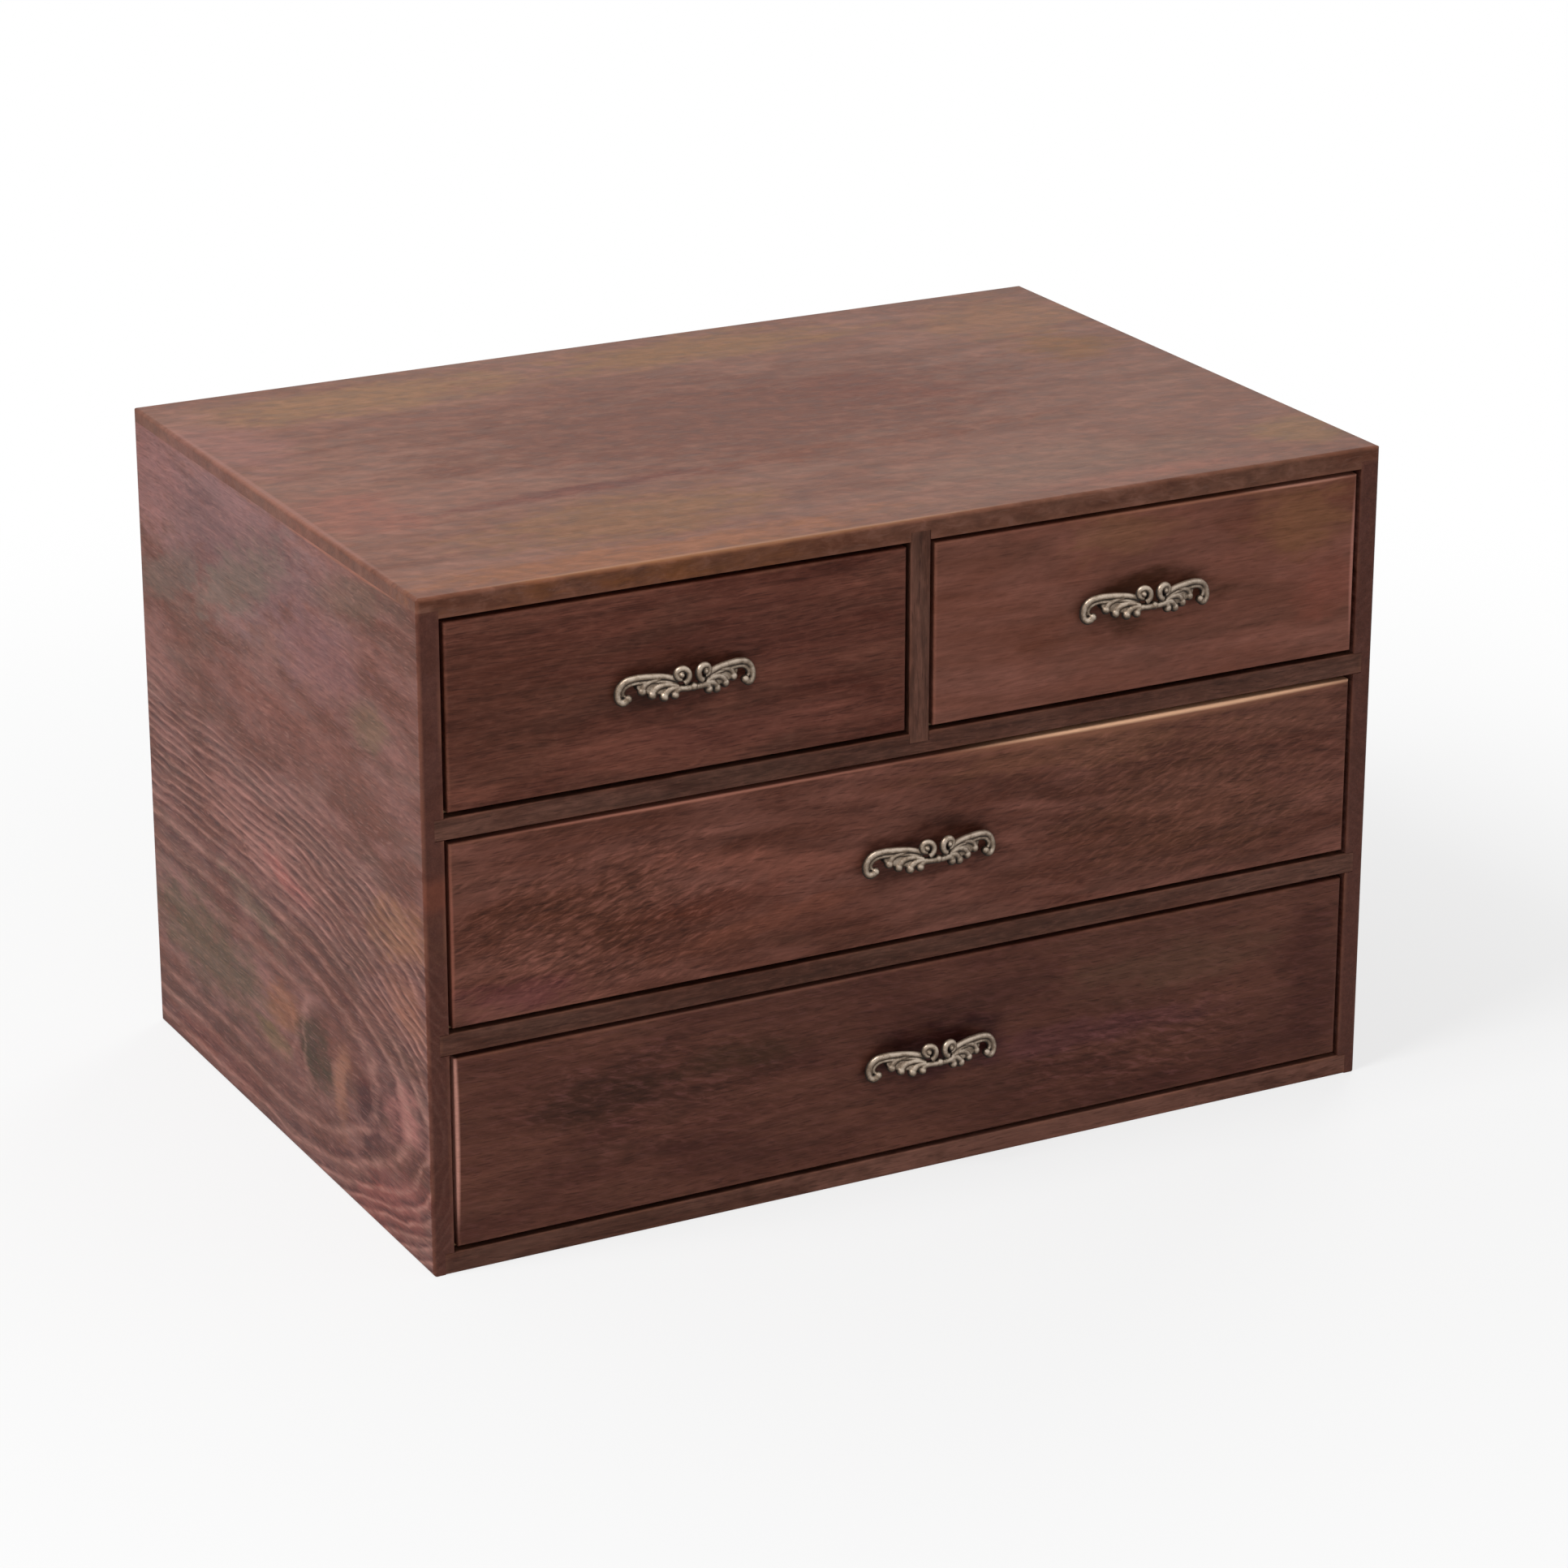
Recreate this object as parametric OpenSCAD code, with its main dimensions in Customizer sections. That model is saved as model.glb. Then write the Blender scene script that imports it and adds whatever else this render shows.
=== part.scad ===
// Desktop cabinet of four small drawers in stained solid wood, two short drawers over two long ones.
// Millimetres. Z is up, the drawer fronts face -Y, and the origin is the middle of the underside.

/* [Case] */
// Width of the case over both sides
case_w = 340; // [300:1:380]
// Depth of the case from its front edges to its rear edges
case_d = 230; // [200:1:260]
// Height of the opening that holds the lower long drawer
lower_bay_h = 66; // [50:1:80]
// Height of the opening that holds the middle long drawer
middle_bay_h = 63; // [50:1:80]
// Height of the openings that hold the two short drawers
upper_bay_h = 63; // [50:1:80]
// Thickness of the case boards
board_t = 7; // [6.5:0.5:9]
// Thickness of the back panel
back_t = 4; // [3:0.5:5]
// Radius of the eased outer edges of the case
case_ease = 1.2; // [0.6:0.1:1.8]
// Radius of the eased front edges of the shelves and the divider
shelf_ease = 0.5; // [0.2:0.1:0.8]

/* [Joinery] */
// Thickness of the lip of the top board that covers the ends of the sides
top_lip = 4.5; // [3:0.5:5]
// Depth of the housings that hold the shelves, the base and the divider
housing = 3; // [2:0.5:3.5]
// Width of the ledge that the back panel is nailed to
back_ledge = 3.5; // [2.5:0.5:4]
// How far the back panel sits in from the rear edges
back_inset = 1; // [0.6:0.1:3]
// Play between the edges of the back panel and its rebate
panel_play = 0.2; // [0.1:0.1:0.5]

/* [Drawers] */
// Gap left all round a drawer front
front_gap = 1.5; // [1:0.1:2.5]
// Thickness of the drawer fronts
front_t = 8; // [7:0.5:12]
// Radius of the eased edges of a drawer front
front_ease = 0.9; // [0.4:0.1:1.4]
// Thickness of the drawer sides and drawer backs
wall_t = 6; // [5:0.5:8]
// Depth of the step in a drawer front that a drawer side is let into
front_step = 4; // [2:0.5:5]
// Depth of the housing in a drawer side that holds the drawer back
back_housing = 2.5; // [1.5:0.5:3]
// How far the drawer sides run on behind the drawer back
tail = 5; // [3:0.5:12]
// Drop from the top of a drawer front to the top of its sides
wall_drop = 4; // [2:0.5:10]
// Drop from the top of the drawer sides to the top of the drawer back
back_drop = 2; // [1:0.5:6]
// Thickness of the drawer bottoms
bottom_t = 3; // [2.5:0.5:4]
// Height of a drawer bottom above the lower edges of the drawer sides
bottom_rise = 4; // [3:0.5:8]
// Depth of the grooves that hold a drawer bottom
groove = 3; // [2:0.5:3.5]
// Play between the edges of a drawer bottom and its grooves
groove_play = 0.2; // [0.1:0.1:0.5]
// Clearance under the drawer sides where they run on the shelf
running_gap = 0.3; // [0.1:0.1:0.8]
// Clearance between a shut drawer and the back panel that stops it
stop_gap = 0.4; // [0.2:0.1:1]

/* [Pull] */
// Length of the cast pull over its outer scrolls
pull_len = 48; // [44:1:54]
// Height of the cast pull, from its outer scrolls to its middle scrolls
pull_h = 13; // [12:0.2:14]
// How far the metal stands off the drawer front at the middle of the pull
pull_bow = 7.4; // [7:0.2:10]
// How far the middle of the metal stands off the drawer front at the tips of the pull
pull_foot = 1.3; // [1.3:0.1:2]
// Distance between the two screws of a pull
screw_pitch = 30; // [28:1:31]
// Radius of the posts that take the screws
post_r = 2.1; // [2.1:0.1:2.6]

/* [Places of the pulls] */
// How far the lower pull's screws sit to the right of the middle of the drawer front
lower_pull_shift = 4.5; // [-6:0.5:6]
// How far the lower pull's screws sit above the middle of the drawer front
lower_pull_rise = 1; // [-3:0.5:3]
// How far the middle pull's screws sit to the right of the middle of the drawer front
middle_pull_shift = 3; // [-6:0.5:6]
// How far the middle pull's screws sit above the middle of the drawer front
middle_pull_rise = -0.5; // [-3:0.5:3]
// How far the upper left pull's screws sit to the right of the middle of the drawer front
upper_left_pull_shift = 0.5; // [-6:0.5:6]
// How far the upper left pull's screws sit above the middle of the drawer front
upper_left_pull_rise = 1; // [-3:0.5:3]
// How far the upper right pull's screws sit to the right of the middle of the drawer front
upper_right_pull_shift = -2.5; // [-6:0.5:6]
// How far the upper right pull's screws sit above the middle of the drawer front
upper_right_pull_rise = 1.5; // [-3:0.5:3]

/* [Fasteners] */
// Radius of the pull screws
screw_r = 1.45; // [1.2:0.05:1.6]
// Clearance round the pull screws
screw_play = 0.15; // [0.1:0.05:0.25]
// Length of the screw thread inside a post
screw_bite = 2.7; // [2:0.1:2.8]
// Radius of the pan heads of the pull screws
screw_head_r = 2.8; // [2.4:0.1:3.4]
// Height of the pan heads of the pull screws
screw_head_h = 1.8; // [1.4:0.1:2.2]
// Radius of the panel nails
nail_r = 0.6; // [0.5:0.05:0.8]
// Length of the panel nails from the rear of the panel to the tip
nail_len = 14; // [11:1:18]
// Radius of the nail heads
nail_head_r = 1.2; // [1:0.1:1.6]
// Height of the nail heads
nail_head_h = 0.4; // [0.3:0.1:0.5]
// Clearance round a nail in its hole
nail_play = 0.05; // [0.03:0.01:0.1]

/* [Hidden] */
$fn = 48;
// Overlap that carries a cut past the face it starts from
past = 1;
inner_w = case_w - 2 * board_t;
case_h = 4 * board_t + lower_bay_h + middle_bay_h + upper_bay_h;
front_y = -case_d / 2;
rear_y = case_d / 2;
panel_rear_y = rear_y - back_inset;
panel_front_y = panel_rear_y - back_t;
lower_shelf_z = board_t + lower_bay_h;
upper_shelf_z = lower_shelf_z + board_t + middle_bay_h;
top_z = case_h - board_t;
short_bay_w = (inner_w - board_t) / 2;
short_bay_x = (short_bay_w + board_t) / 2;
drawer_rear_y = panel_front_y - stop_gap;

// Places of the panel nails, as shares of the inner width and of each bay's height
nail_spread = [-0.38, -0.15, 0.15, 0.38];
// Places of the nails under a drawer back, as shares of the box width
drawer_nail_spread = [-0.36, 0, 0.36];

// Each bay is [middle x, floor z, width, height, place of the pull from the middle of the front]
LOWER = [0, board_t, inner_w, lower_bay_h, [lower_pull_shift, lower_pull_rise]];
MIDDLE = [0, lower_shelf_z + board_t, inner_w, middle_bay_h, [middle_pull_shift, middle_pull_rise]];
UPPER_LEFT = [
    -short_bay_x, upper_shelf_z + board_t, short_bay_w, upper_bay_h,
    [upper_left_pull_shift, upper_left_pull_rise]
];
UPPER_RIGHT = [
    short_bay_x, upper_shelf_z + board_t, short_bay_w, upper_bay_h,
    [upper_right_pull_shift, upper_right_pull_rise]
];

DRAWERS = [
    ["lower_drawer", LOWER],
    ["middle_drawer", MIDDLE],
    ["upper_left_drawer", UPPER_LEFT],
    ["upper_right_drawer", UPPER_RIGHT]
];
DRAWER_PIECES = ["front", "left_wall", "right_wall", "back", "bottom", "nails", "pull", "screws"];

// ---------------------------------------------------------------- outlines and extrusions

// Box between two corners
module box(low, high) {
    translate(low) cube(high - low);
}

// Extrudes a [y, z] outline along X between two places
module along_x(x0, x1) {
    translate([x0, 0, 0]) rotate([90, 0, 90]) linear_extrude(x1 - x0) children();
}

// Extrudes an [x, z] outline along Y between two places
module along_y(y0, y1) {
    translate([0, y1, 0]) rotate([90, 0, 0]) linear_extrude(y1 - y0) children();
}

// Extrudes an [x, y] outline along Z between two places
module along_z(z0, z1) {
    translate([0, 0, z0]) linear_extrude(z1 - z0) children();
}

// What rounding takes off one corner: at is the corner, turn is [1 or -1, 1 or -1] towards the inside
module corner_waste(at, turn, r) {
    translate(at) scale([turn[0], turn[1]]) difference() {
        translate([-past, -past]) square(r + past);
        translate([r, r]) circle(r);
    }
}

// Rectangle between two corners, rounded at the corners that ease names: [low-low, high-low, high-high, low-high]
module eased_rect(low, high, r, ease) {
    difference() {
        translate(low) square(high - low);
        if (ease[0]) corner_waste(low, [1, 1], r);
        if (ease[1]) corner_waste([high[0], low[1]], [-1, 1], r);
        if (ease[2]) corner_waste(high, [-1, -1], r);
        if (ease[3]) corner_waste([low[0], high[1]], [1, -1], r);
    }
}

// The children and their mirror image on the other side of the middle
module both_sides() {
    children();
    mirror([1, 0, 0]) children();
}

// ---------------------------------------------------------------- nails

// Nail along +Y: the underside of its head is at the origin
module nail(length) {
    rotate([-90, 0, 0]) {
        cylinder(r = nail_r, h = length - nail_r * 2);
        translate([0, 0, length - nail_r * 2]) cylinder(r1 = nail_r, r2 = 0.15, h = nail_r * 2);
        translate([0, 0, -nail_head_h]) cylinder(r = nail_head_r, h = nail_head_h);
    }
}

// Hole that a nail along +Y leaves
module nail_hole(length) {
    rotate([-90, 0, 0]) translate([0, 0, -past])
        cylinder(r = nail_r + nail_play, h = length + past + nail_play);
}

// Places the children at every panel nail, head towards the rear
module at_back_nails() {
    side_x = inner_w / 2 + back_ledge / 2;
    bay_middles = [
        LOWER[1] + LOWER[3] / 2, MIDDLE[1] + MIDDLE[3] / 2, UPPER_LEFT[1] + UPPER_LEFT[3] / 2
    ];
    for (z = bay_middles, s = [-1, 1])
        translate([s * side_x, panel_rear_y, z]) rotate([0, 0, 180]) children();
    for (f = nail_spread, z = [board_t - back_ledge / 2, top_z + back_ledge / 2])
        translate([f * inner_w, panel_rear_y, z]) rotate([0, 0, 180]) children();
}

// ---------------------------------------------------------------- case

// Left side: eased outer edges, housings for the base and shelves, rebate for the back panel
module left_side_board() {
    outer_x = -case_w / 2;
    inner_x = outer_x + board_t;
    difference() {
        intersection() {
            along_z(0, case_h - top_lip)
                eased_rect([outer_x, front_y], [inner_x, rear_y], case_ease, [true, false, false, true]);
            along_y(front_y - past, rear_y + past)
                eased_rect([outer_x, 0], [inner_x + past, case_h], case_ease, [true, false, false, false]);
        }
        for (z = [0, lower_shelf_z, upper_shelf_z])
            box([inner_x - housing, front_y - past, z - (z == 0 ? past : 0)],
                [inner_x + past, rear_y + past, z + board_t]);
        box([inner_x - back_ledge, panel_front_y, board_t - back_ledge], [inner_x + past, rear_y + past, case_h]);
        at_back_nails() nail_hole(nail_len);
    }
}

module left_side() {
    color("#5b3a33") left_side_board();
}

module right_side() {
    color("#5b3a33") mirror([1, 0, 0]) left_side_board();
}

// Top board: its lips cover the ends of the sides, and a housing holds the divider
module top_board() {
    color("#7a4f40") difference() {
        intersection() {
            along_y(front_y, rear_y)
                eased_rect([-case_w / 2, top_z], [case_w / 2, case_h], case_ease, [false, false, true, true]);
            along_x(-case_w / 2 - past, case_w / 2 + past)
                eased_rect([front_y, top_z - past], [rear_y, case_h], case_ease, [false, false, true, true]);
            along_z(top_z - past, case_h + past)
                eased_rect([-case_w / 2, front_y], [case_w / 2, rear_y], case_ease, [true, true, true, true]);
        }
        both_sides()
            box([inner_w / 2, front_y - past, top_z - past], [case_w / 2 + past, rear_y + past, case_h - top_lip]);
        box([-board_t / 2, front_y - past, top_z - past], [board_t / 2, panel_front_y, top_z + housing]);
        box([-inner_w / 2 - back_ledge, panel_front_y, top_z - past],
            [inner_w / 2 + back_ledge, rear_y + past, top_z + back_ledge]);
        at_back_nails() nail_hole(nail_len);
    }
}

// Board that runs from side to side with its ends in the housings
module cross_board(z, rear) {
    along_x(-inner_w / 2 - housing, inner_w / 2 + housing)
        eased_rect([front_y, z], [rear, z + board_t], shelf_ease, [true, false, false, true]);
}

module base_board() {
    color("#5b3a33") difference() {
        cross_board(0, rear_y);
        box([-case_w / 2, panel_front_y, board_t - back_ledge], [case_w / 2, rear_y + past, board_t + past]);
        at_back_nails() nail_hole(nail_len);
    }
}

module lower_shelf() {
    color("#54352e") cross_board(lower_shelf_z, panel_front_y);
}

// Upper shelf: a housing in its top face holds the divider
module upper_shelf() {
    color("#54352e") difference() {
        cross_board(upper_shelf_z, panel_front_y);
        box([-board_t / 2, front_y - past, upper_shelf_z + board_t - housing],
            [board_t / 2, rear_y, upper_shelf_z + board_t + past]);
    }
}

module centre_divider() {
    color("#54352e") along_z(upper_shelf_z + board_t - housing, top_z + housing)
        eased_rect([-board_t / 2, front_y], [board_t / 2, panel_front_y], shelf_ease, [true, true, false, false]);
}

module back_panel() {
    reach = back_ledge - panel_play;
    color("#8a5f48") difference() {
        box([-inner_w / 2 - reach, panel_front_y, board_t - reach],
            [inner_w / 2 + reach, panel_rear_y, top_z + reach]);
        at_back_nails() nail_hole(nail_len);
    }
}

module back_nails() {
    color("#8f8a80") at_back_nails() nail(nail_len);
}

// ---------------------------------------------------------------- drawers

// Measures of the drawer in a bay
function box_w(bay) = bay[2] - 2 * front_gap;
function wall_z(bay) = bay[1] + running_gap;
function wall_top_z(bay) = bay[1] + bay[3] - front_gap - wall_drop;
function bottom_z(bay) = wall_z(bay) + bottom_rise;
// Place between the screws of the pull, on the face of the drawer front, in the drawer's own x
function pull_at(bay) = [bay[4][0], front_y, bay[1] + bay[3] / 2 + bay[4][1]];

// Front: eased show edges, steps for the walls, groove for the bottom, holes for the pull
module drawer_front(bay) {
    half_w = box_w(bay) / 2;
    low_z = bay[1] + front_gap;
    high_z = bay[1] + bay[3] - front_gap;
    translate([bay[0], 0, 0]) difference() {
        intersection() {
            along_z(low_z, high_z)
                eased_rect([-half_w, front_y], [half_w, front_y + front_t], front_ease, [true, true, false, false]);
            along_x(-half_w - past, half_w + past)
                eased_rect([front_y, low_z], [front_y + front_t, high_z], front_ease, [true, false, false, true]);
        }
        both_sides()
            box([half_w - wall_t, front_y + front_t - front_step, low_z - past],
                [half_w + past, front_y + front_t + past, high_z + past]);
        box([-half_w - past, front_y + front_t - groove, bottom_z(bay)],
            [half_w + past, front_y + front_t + past, bottom_z(bay) + bottom_t]);
        at_screws(bay) rotate([-90, 0, 0]) translate([0, 0, -past])
            cylinder(r = screw_r + screw_play, h = front_t + 2 * past);
    }
}

// Left wall: groove for the bottom, housing for the back, rounded tail
module drawer_left_wall(bay) {
    outer_x = -box_w(bay) / 2;
    inner_x = outer_x + wall_t;
    start_y = front_y + front_t - front_step;
    back_y = drawer_rear_y - tail - wall_t;
    translate([bay[0], 0, 0]) difference() {
        along_x(outer_x, inner_x)
            eased_rect([start_y, wall_z(bay)], [drawer_rear_y, wall_top_z(bay)], wall_drop / 2,
                [false, false, true, false]);
        box([inner_x - groove, start_y - past, bottom_z(bay)],
            [inner_x + past, drawer_rear_y + past, bottom_z(bay) + bottom_t]);
        box([inner_x - back_housing, back_y, bottom_z(bay)],
            [inner_x + past, back_y + wall_t, wall_top_z(bay) + past]);
    }
}

module drawer_right_wall(bay) {
    translate([2 * bay[0], 0, 0]) mirror([1, 0, 0]) drawer_left_wall(bay);
}

// Back: stands on the bottom, between the walls
module drawer_back(bay) {
    half_w = box_w(bay) / 2 - wall_t + back_housing;
    back_y = drawer_rear_y - tail - wall_t;
    floor_z = bottom_z(bay) + bottom_t;
    translate([bay[0], 0, 0]) difference() {
        along_x(-half_w, half_w)
            eased_rect([back_y, floor_z], [back_y + wall_t, wall_top_z(bay) - back_drop], shelf_ease,
                [false, false, true, true]);
        at_drawer_nails(bay) nail_hole(drawer_nail_len());
    }
}

// Bottom: slides into the grooves from behind, and ends under the drawer back
module drawer_bottom(bay) {
    half_w = box_w(bay) / 2 - wall_t + groove - groove_play;
    start_y = front_y + front_t - groove + groove_play;
    translate([bay[0], 0, 0]) difference() {
        box([-half_w, start_y, bottom_z(bay)], [half_w, drawer_rear_y - tail, bottom_z(bay) + bottom_t]);
        at_drawer_nails(bay) nail_hole(drawer_nail_len());
    }
}

function drawer_nail_len() = bottom_t + 2 * wall_t;

// Places the children under the drawer back, pointing up, in the drawer's own x
module at_drawer_nails(bay) {
    for (f = drawer_nail_spread)
        translate([f * box_w(bay), drawer_rear_y - tail - wall_t / 2, bottom_z(bay)])
            rotate([90, 0, 0]) children();
}

module drawer_nails(bay) {
    translate([bay[0], 0, 0]) at_drawer_nails(bay) nail(drawer_nail_len());
}

// ---------------------------------------------------------------- cast pull
// The ornament is drawn for half a pull in steps, 24 of them from the middle to the tip. A place on it
// is [u, v], u steps away from the middle and v steps up, and it is then laid over the bow.

step_u = pull_len / 48;
step_v = pull_h / 13;

// How far the middle of the metal stands off the drawer front
function bow(u) = pull_foot + (pull_bow - pull_foot) * (1 - pow(u / 24, 1.15));
// Point on the bow, from the point between the screws: lift brings it forward
function on_bow(p, lift) = [p[0] * step_u, -bow(p[0]) - lift * step_u, (p[1] - 2) * step_v];

function unit(a) = a / norm(a);
// Spiral about a middle that tightens from r0 to r1
function spiral(middle, r0, r1, a0, a1, count) = [
    for (i = [0:count]) let (s = i / count, a = a0 + (a1 - a0) * s) middle + r0 * pow(r1 / r0, s) * [cos(a), sin(a)]
];
// Curve through four control places
function curve(a, b, c, d, count) = [
    for (i = [0:count]) let (t = i / count, s = 1 - t)
        s * s * s * a + 3 * s * s * t * b + 3 * s * t * t * c + t * t * t * d
];

// Round strand along places on the bow, with its radius and its lift at the start and at the end
module strand(line, r_ends, lift_ends = [0, 0], sides = 6) {
    last = len(line) - 1;
    centres = [
        for (i = [0:last]) on_bow(line[i], lift_ends[0] + (lift_ends[1] - lift_ends[0]) * i / last)
    ];
    rings = [
        for (i = [0:last])
            let (
                ahead = unit(centres[min(i + 1, last)] - centres[max(i - 1, 0)]),
                across = unit(cross(ahead, [0, -1, 0])),
                forward = cross(across, ahead),
                r = step_u * (r_ends[0] + (r_ends[1] - r_ends[0]) * i / last)
            )
            for (k = [0:sides - 1])
                centres[i] + r * (cos(k * 360 / sides) * across + sin(k * 360 / sides) * forward)
    ];
    tube = [
        for (i = [0:last - 1], k = [0:sides - 1])
            let (a = i * sides + k, b = i * sides + (k + 1) % sides)
            each [[a, b, b + sides], [a, b + sides, a + sides]]
    ];
    start_cap = [for (k = [1:sides - 2]) [0, k + 1, k]];
    end_cap = [for (k = [1:sides - 2]) last * sides * [1, 1, 1] + [0, k, k + 1]];
    polyhedron(rings, concat(tube, start_cap, end_cap));
}

module bead(p, r, lift = 0, sides = 8) {
    translate(on_bow(p, lift)) sphere(r * step_u, $fn = sides);
}

// Leaf blade between places on the bow, behind the ribs
module web(corners) {
    hull()
        for (p = corners)
            bead(p, 0.6, -0.9, 6);
}

// Rib of the leaf that ends in a drop and falls back towards the drawer front on the way
module leaf_rib(line, r_ends, fall) {
    last = len(line) - 1;
    stem = [for (i = [0:last - 1]) line[i]];
    near_end = fall * (last - 1) / last;
    strand(stem, r_ends, [0, -near_end]);
    hull() {
        bead(line[last - 1], r_ends[1] * 1.05, -near_end, 6);
        bead(line[last], r_ends[1] * 1.15, -fall, 6);
    }
}

module half_pull() {
    // Middle scroll and its eye
    strand(spiral([4, 4.9], 2.8, 1.2, 252, -100, 11), [1, 0.85], [0.4, 0.6]);
    bead([4, 4.9], 1, 0.9, 6);
    // Lower lip, from the middle bead, that turns down as the innermost rib of the leaf
    leaf_rib(curve([0.2, 0.8], [2.6, -0.6], [5, 1.8], [5.7, -1.6], 6), [0.9, 1.1], 0.2);
    // Other ribs of the leaf, fanned out from the lip and from the ridge
    leaf_rib(curve([4.4, 0.8], [6.6, 1], [8.2, 0], [8.8, -2], 4), [0.8, 1.1], 0.4);
    leaf_rib(curve([4.6, 1.2], [7.6, 2.6], [11.8, 2], [12.3, -1.2], 5), [0.7, 1.1], 0.9);
    leaf_rib(curve([10, 4.2], [13, 3.4], [15.2, 3], [15.4, 0.2], 4), [0.6, 1.05], 0.6);
    web([[5, 3.6], [10.5, 4.6], [10.5, -0.6], [5.6, 0]]);
    web([[10.5, 4.6], [16.8, 4.6], [16.6, 1.6], [15.4, 0], [10.5, -0.2]]);
    // Ridge over the leaf that runs on into the outer scroll, and the drop at its end
    strand(
        concat(
            curve([4.7, 3.1], [8, 5.1], [13, 4.9], [16.6, 4.8], 5),
            curve([18.4, 4.5], [23.6, 3.9], [23.9, -3], [21.2, -2.7], 6),
            [[20, -1.7]]
        ),
        [0.8, 1.25], [-0.2, 0.2]
    );
    bead([19.9, -1.6], 1.35, 0.2);
}

// Places the children at both screws, on the face of the drawer front
module at_screws(bay) {
    for (s = [-1, 1])
        translate(pull_at(bay) + [s * screw_pitch / 2, 0, 0]) children();
}

module drawer_pull(bay) {
    post_h = bow(screw_pitch / 2 / step_u) - 0.5 * step_u;
    translate([bay[0], 0, 0]) difference() {
        union() {
            translate(pull_at(bay)) {
                both_sides() half_pull();
                bead([0, 0.8], 1.15, 0.2);
            }
            at_screws(bay) rotate([90, 0, 0]) cylinder(r = post_r, h = post_h, $fn = 12);
        }
        at_screws(bay) rotate([90, 0, 0]) translate([0, 0, -past])
            cylinder(r = screw_r + screw_play, h = past + screw_bite + 2 * screw_play, $fn = 12);
    }
}

// Pan head screws that hold the pull from inside the drawer
module drawer_screws(bay) {
    shank = front_t + screw_bite;
    slot_w = 0.6;
    translate([bay[0], 0, 0]) at_screws(bay)
        translate([0, front_t, 0]) difference() {
            union() {
                rotate([90, 0, 0]) cylinder(r = screw_r, h = shank);
                rotate([-90, 0, 0]) cylinder(r1 = screw_head_r, r2 = screw_head_r * 0.7, h = screw_head_h);
            }
            for (turn = [0, 90])
                rotate([0, turn, 0])
                    box([-screw_head_r / 2, screw_head_h * 0.45, -slot_w / 2],
                        [screw_head_r / 2, screw_head_h + past, slot_w / 2]);
        }
}

// ---------------------------------------------------------------- drawing

module drawer_piece(bay, piece) {
    if (piece == "front") color("#5e3730") drawer_front(bay);
    if (piece == "left_wall") color("#8f6a4e") drawer_left_wall(bay);
    if (piece == "right_wall") color("#8f6a4e") drawer_right_wall(bay);
    if (piece == "back") color("#8f6a4e") drawer_back(bay);
    if (piece == "bottom") color("#a9825f") drawer_bottom(bay);
    if (piece == "nails") color("#8f8a80") drawer_nails(bay);
    if (piece == "pull") color("#8c8270") drawer_pull(bay);
    if (piece == "screws") color("#a09a8c") drawer_screws(bay);
}

left_side();
right_side();
top_board();
base_board();
lower_shelf();
upper_shelf();
centre_divider();
back_panel();
back_nails();
for (d = DRAWERS, piece = DRAWER_PIECES)
    drawer_piece(d[1], piece);
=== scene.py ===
"""Looks of the desktop cabinet: stained boards, planed drawer boxes, cast brass pulls, and the studio."""

import math

import bmesh
import bpy
from mathutils import Matrix, Vector
from mathutils.bvhtree import BVHTree


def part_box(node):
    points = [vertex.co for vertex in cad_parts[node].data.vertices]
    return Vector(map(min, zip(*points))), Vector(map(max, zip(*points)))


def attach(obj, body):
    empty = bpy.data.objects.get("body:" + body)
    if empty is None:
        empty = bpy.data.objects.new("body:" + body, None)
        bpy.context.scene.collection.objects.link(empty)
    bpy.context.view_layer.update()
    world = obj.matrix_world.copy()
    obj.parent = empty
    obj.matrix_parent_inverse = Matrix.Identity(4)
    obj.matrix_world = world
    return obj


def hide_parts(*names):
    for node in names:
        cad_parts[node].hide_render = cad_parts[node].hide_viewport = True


bl_info = {
    "name": "Desktop Cabinet Looks",
    "version": (1, 0, 0),
    "blender": (4, 5, 0),
    "location": "3D View > Sidebar > Cabinet",
    "description": "Stains the boards of a small drawer cabinet, casts its pulls and lights it",
    "category": "Object",
}

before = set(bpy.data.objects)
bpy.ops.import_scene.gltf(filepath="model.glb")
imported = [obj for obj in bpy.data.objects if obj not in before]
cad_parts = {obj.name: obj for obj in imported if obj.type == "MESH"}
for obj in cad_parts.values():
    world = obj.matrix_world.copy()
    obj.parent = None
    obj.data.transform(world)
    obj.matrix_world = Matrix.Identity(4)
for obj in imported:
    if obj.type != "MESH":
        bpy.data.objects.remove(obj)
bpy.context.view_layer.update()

DRAWERS = ("lower_drawer", "middle_drawer", "upper_left_drawer", "upper_right_drawer")
X, Y, Z = Vector((1, 0, 0)), Vector((0, 1, 0)), Vector((0, 0, 1))
MM, TO_MM = 0.001, 1000


# -------------------- helpers


def linear(code):
    """Linear colour of an sRGB hex value."""
    parts = [int(code[i : i + 2], 16) / 255 for i in (1, 3, 5)]
    return [c / 12.92 if c <= 0.04045 else ((c + 0.055) / 1.055) ** 2.4 for c in parts]


def add(tree, kind, inputs=None, **settings):
    """Adds a node with its settings, and sets or links its inputs."""
    node = tree.nodes.new("ShaderNode" + kind)
    for name, value in settings.items():
        setattr(node, name, value)
    for key, value in (inputs or {}).items():
        if isinstance(key, int):
            socket = node.inputs[key]
        else:
            socket = next(s for s in node.inputs if s.enabled and s.name == key)
        if isinstance(value, bpy.types.Node):
            value = next(s for s in value.outputs if s.enabled)
        if isinstance(value, bpy.types.NodeSocket):
            tree.links.new(value, socket)
        elif socket.type == "RGBA":
            socket.default_value = (*value[:3], 1)
        else:
            socket.default_value = value
    return node


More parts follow.
